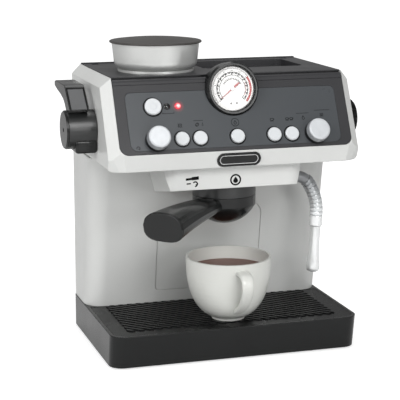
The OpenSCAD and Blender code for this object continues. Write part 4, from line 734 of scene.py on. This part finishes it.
def wand_line(s):
    """Place on the middle line s millimetres after the elbow's start, and its angle below level."""
    x, z, turn = WAND_X, WAND_Z, 0.0
    for length, radius in ((ELBOW_BEND_R * ELBOW_TURN, ELBOW_BEND_R), (STRAIGHT, 0),
                           (SLEEVE_BEND_R * SLEEVE_TURN, SLEEVE_BEND_R), (ENDLESS, 0)):
        step = min(s, length)
        if radius and step > 0:
            x += radius * (math.sin(turn + step / radius) - math.sin(turn))
            z -= radius * (math.cos(turn) - math.cos(turn + step / radius))
            turn += step / radius
        else:
            x, z = x + step * math.cos(turn), z - step * math.sin(turn)
        s -= step
        if s <= 0:
            break
    return x, z, turn


def wand_piece(name, stations, finish, node):
    """A closed round form along the middle line, from stations of place and radius."""
    mesh = bmesh.new()
    angles = [2 * math.pi * i / WAND_STEPS for i in range(WAND_STEPS)]
    rings = []
    for s, radius in stations:
        x, z, turn = wand_line(s)
        rings.append([place(x + radius * math.sin(a) * math.sin(turn), WAND_Y + radius * math.cos(a),
                            z + radius * math.sin(a) * math.cos(turn)) for a in angles])
    skin(mesh, rings)
    piece = rounded_piece(name, mesh, finish, "wand", bevel_mm=0.2, segments=2)
    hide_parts(node)


def sleeve_stations(steps=240):
    """The sleeve's radius along the wand: ribs with flat tops and narrow round grooves between them."""
    stations = []
    start, end = TUBE_END - SLEEVE_LAP, SLEEVE_END - SLEEVE_GAP
    rib_pitch = (SLEEVE_END - TUBE_END) / RIBS
    for i in range(steps + 1):
        s = start + (end - start) * i / steps
        off = abs((s - TUBE_END) % rib_pitch - rib_pitch / 2)
        rise = max(0.0, 1.0 - (off / (RIB_SHARE * rib_pitch)) ** RIB_POWER)
        stations.append((s, SLEEVE_R + RIB_RISE * rise))
    return stations


def steam_wand():
    """The wand's elbow, its ribbed sleeve and its turned pipe, at the photo's length."""
    bend_steps = 12
    tube = TUBE_STUB + [TUBE_END * i / bend_steps for i in range(1, bend_steps + 1)]
    wand_piece("wand_elbow_tube", [(s, TUBE_R) for s in tube], shaded_elbow_grey, "wand_elbow")
    wand_piece("wand_sleeve_ribbed", sleeve_stations(), grey_sleeve, "wand_sleeve")
    wand_piece("wand_pipe_turned", [(SLEEVE_END + s, radius) for s, radius in PIPE], bright_lacquer,
               "wand_pipe")


panel_prints()
gauge_prints()
gauge_needle()
badge_line()
side_lever()
steam_wand()
brow_signs()


# ---------------------------------------------------------------- stage, light and camera

FLOOR_HALF = 8
WHITE = (1, 1, 1, 1)
# The share of the board's glow that glossy surfaces see, because the lamps light the board as well
GLOSS_SHARE = 0.3
# Each lamp's name, place and aim in metres, width in metres and power in watts
LAMPS = (("key", (-0.05, -1.5, 1.2), (0, 0, 0.14), 0.8, 15.5),
         ("fill", (-1.5, -0.7, 0.9), (0, 0, 0.14), 1.0, 14),
         ("low", (0.5, -1.6, 0.45), (0, 0, 0.14), 0.5, 4.4),
         ("top", (0.0, 0.4, 1.5), (0, 0, 0.2), 0.8, 5.5))
SKY_STRENGTH = 0.32
# The camera that was fitted to the photo: its place, its turns in degrees, its lens in millimetres
CAMERA_PLACE = place(-400.97, -1170.90, 408.26)
CAMERA_DOWN, CAMERA_RIGHT = 11.69, 17.22
LENS, SENSOR = 125.586, 36.0


def white_board():
    """Matt white card, which the camera sees a little brighter than it lights the machine."""
    material, tree = new_material("white_board_matt")
    ray = add(tree, "ShaderNodeLightPath")
    in_full = add(tree, "ShaderNodeMath", {"operation": "MAXIMUM"},
                  links={0: ray.outputs["Is Camera Ray"], 1: ray.outputs["Is Transmission Ray"]})
    seen = add(tree, "ShaderNodeMath", {"operation": "MULTIPLY_ADD"}, {1: GLOSS_SHARE},
               {0: ray.outputs["Is Glossy Ray"], 2: in_full.outputs[0]})
    where = add(tree, "ShaderNodeTexCoord").outputs["Object"]
    reach = add(tree, "ShaderNodeVectorMath", {"operation": "LENGTH"}, links={0: where})
    # The glow is weaker near the machine, so that its shadow stays
    fade = add(tree, "ShaderNodeMapRange", {"interpolation_type": "SMOOTHSTEP"},
               {"From Min": 0.18, "From Max": 0.75, "To Min": 0.62, "To Max": 0.9},
               {"Value": reach.outputs["Value"]})
    glow = add(tree, "ShaderNodeMath", {"operation": "MULTIPLY"},
               links={0: seen.outputs[0], 1: fade.outputs[0]})
    shader = add(tree, "ShaderNodeBsdfPrincipled",
                 inputs={"Base Color": linear("#CFCFCF"), "Roughness": 0.8, "Emission Color": WHITE},
                 links={"Emission Strength": glow.outputs[0]})
    add(tree, "ShaderNodeOutputMaterial", links={"Surface": shader.outputs[0]})
    return material


def floor():
    """The board that the machine stands on."""
    mesh = bpy.data.meshes.new("floor")
    corners = [(-1, -1), (1, -1), (1, 1), (-1, 1)]
    mesh.from_pydata([(x * FLOOR_HALF, y * FLOOR_HALF, 0) for x, y in corners], [], [(0, 1, 2, 3)])
    mesh.materials.append(white_board())
    board = bpy.data.objects.new("floor", mesh)
    scene.collection.objects.link(board)


def area_lamp(name, where, aim, size, watts):
    """A square lamp at a place, turned towards its aim."""
    lamp = bpy.data.lights.new(name, "AREA")
    lamp.shape, lamp.size, lamp.energy = "SQUARE", size, watts
    holder = bpy.data.objects.new(name, lamp)
    holder.location = where
    holder.rotation_mode = "QUATERNION"
    holder.rotation_quaternion = (Vector(where) - Vector(aim)).to_track_quat("Z", "Y")
    scene.collection.objects.link(holder)


def pale_sky():
    """An even white light from all sides."""
    world = scene.world or bpy.data.worlds.new("world")
    scene.world = world
    world.use_nodes = True
    tree = world.node_tree
    tree.nodes.clear()
    sky = add(tree, "ShaderNodeBackground", inputs={"Color": WHITE, "Strength": SKY_STRENGTH})
    add(tree, "ShaderNodeOutputWorld", links={"Surface": sky.outputs[0]})


def photo_camera():
    """The camera at the photo's place and view."""
    camera = bpy.data.objects.new("camera", bpy.data.cameras.new("camera"))
    camera.data.sensor_width = SENSOR
    camera.data.lens = LENS
    camera.location = CAMERA_PLACE
    camera.rotation_euler = (math.radians(90 - CAMERA_DOWN), 0, math.radians(-CAMERA_RIGHT))
    camera.data.clip_start, camera.data.clip_end = 0.05, 20
    scene.collection.objects.link(camera)
    scene.camera = camera


floor()
for lamp_row in LAMPS:
    area_lamp(*lamp_row)
pale_sky()
photo_camera()
scene.view_settings.view_transform = "Standard"
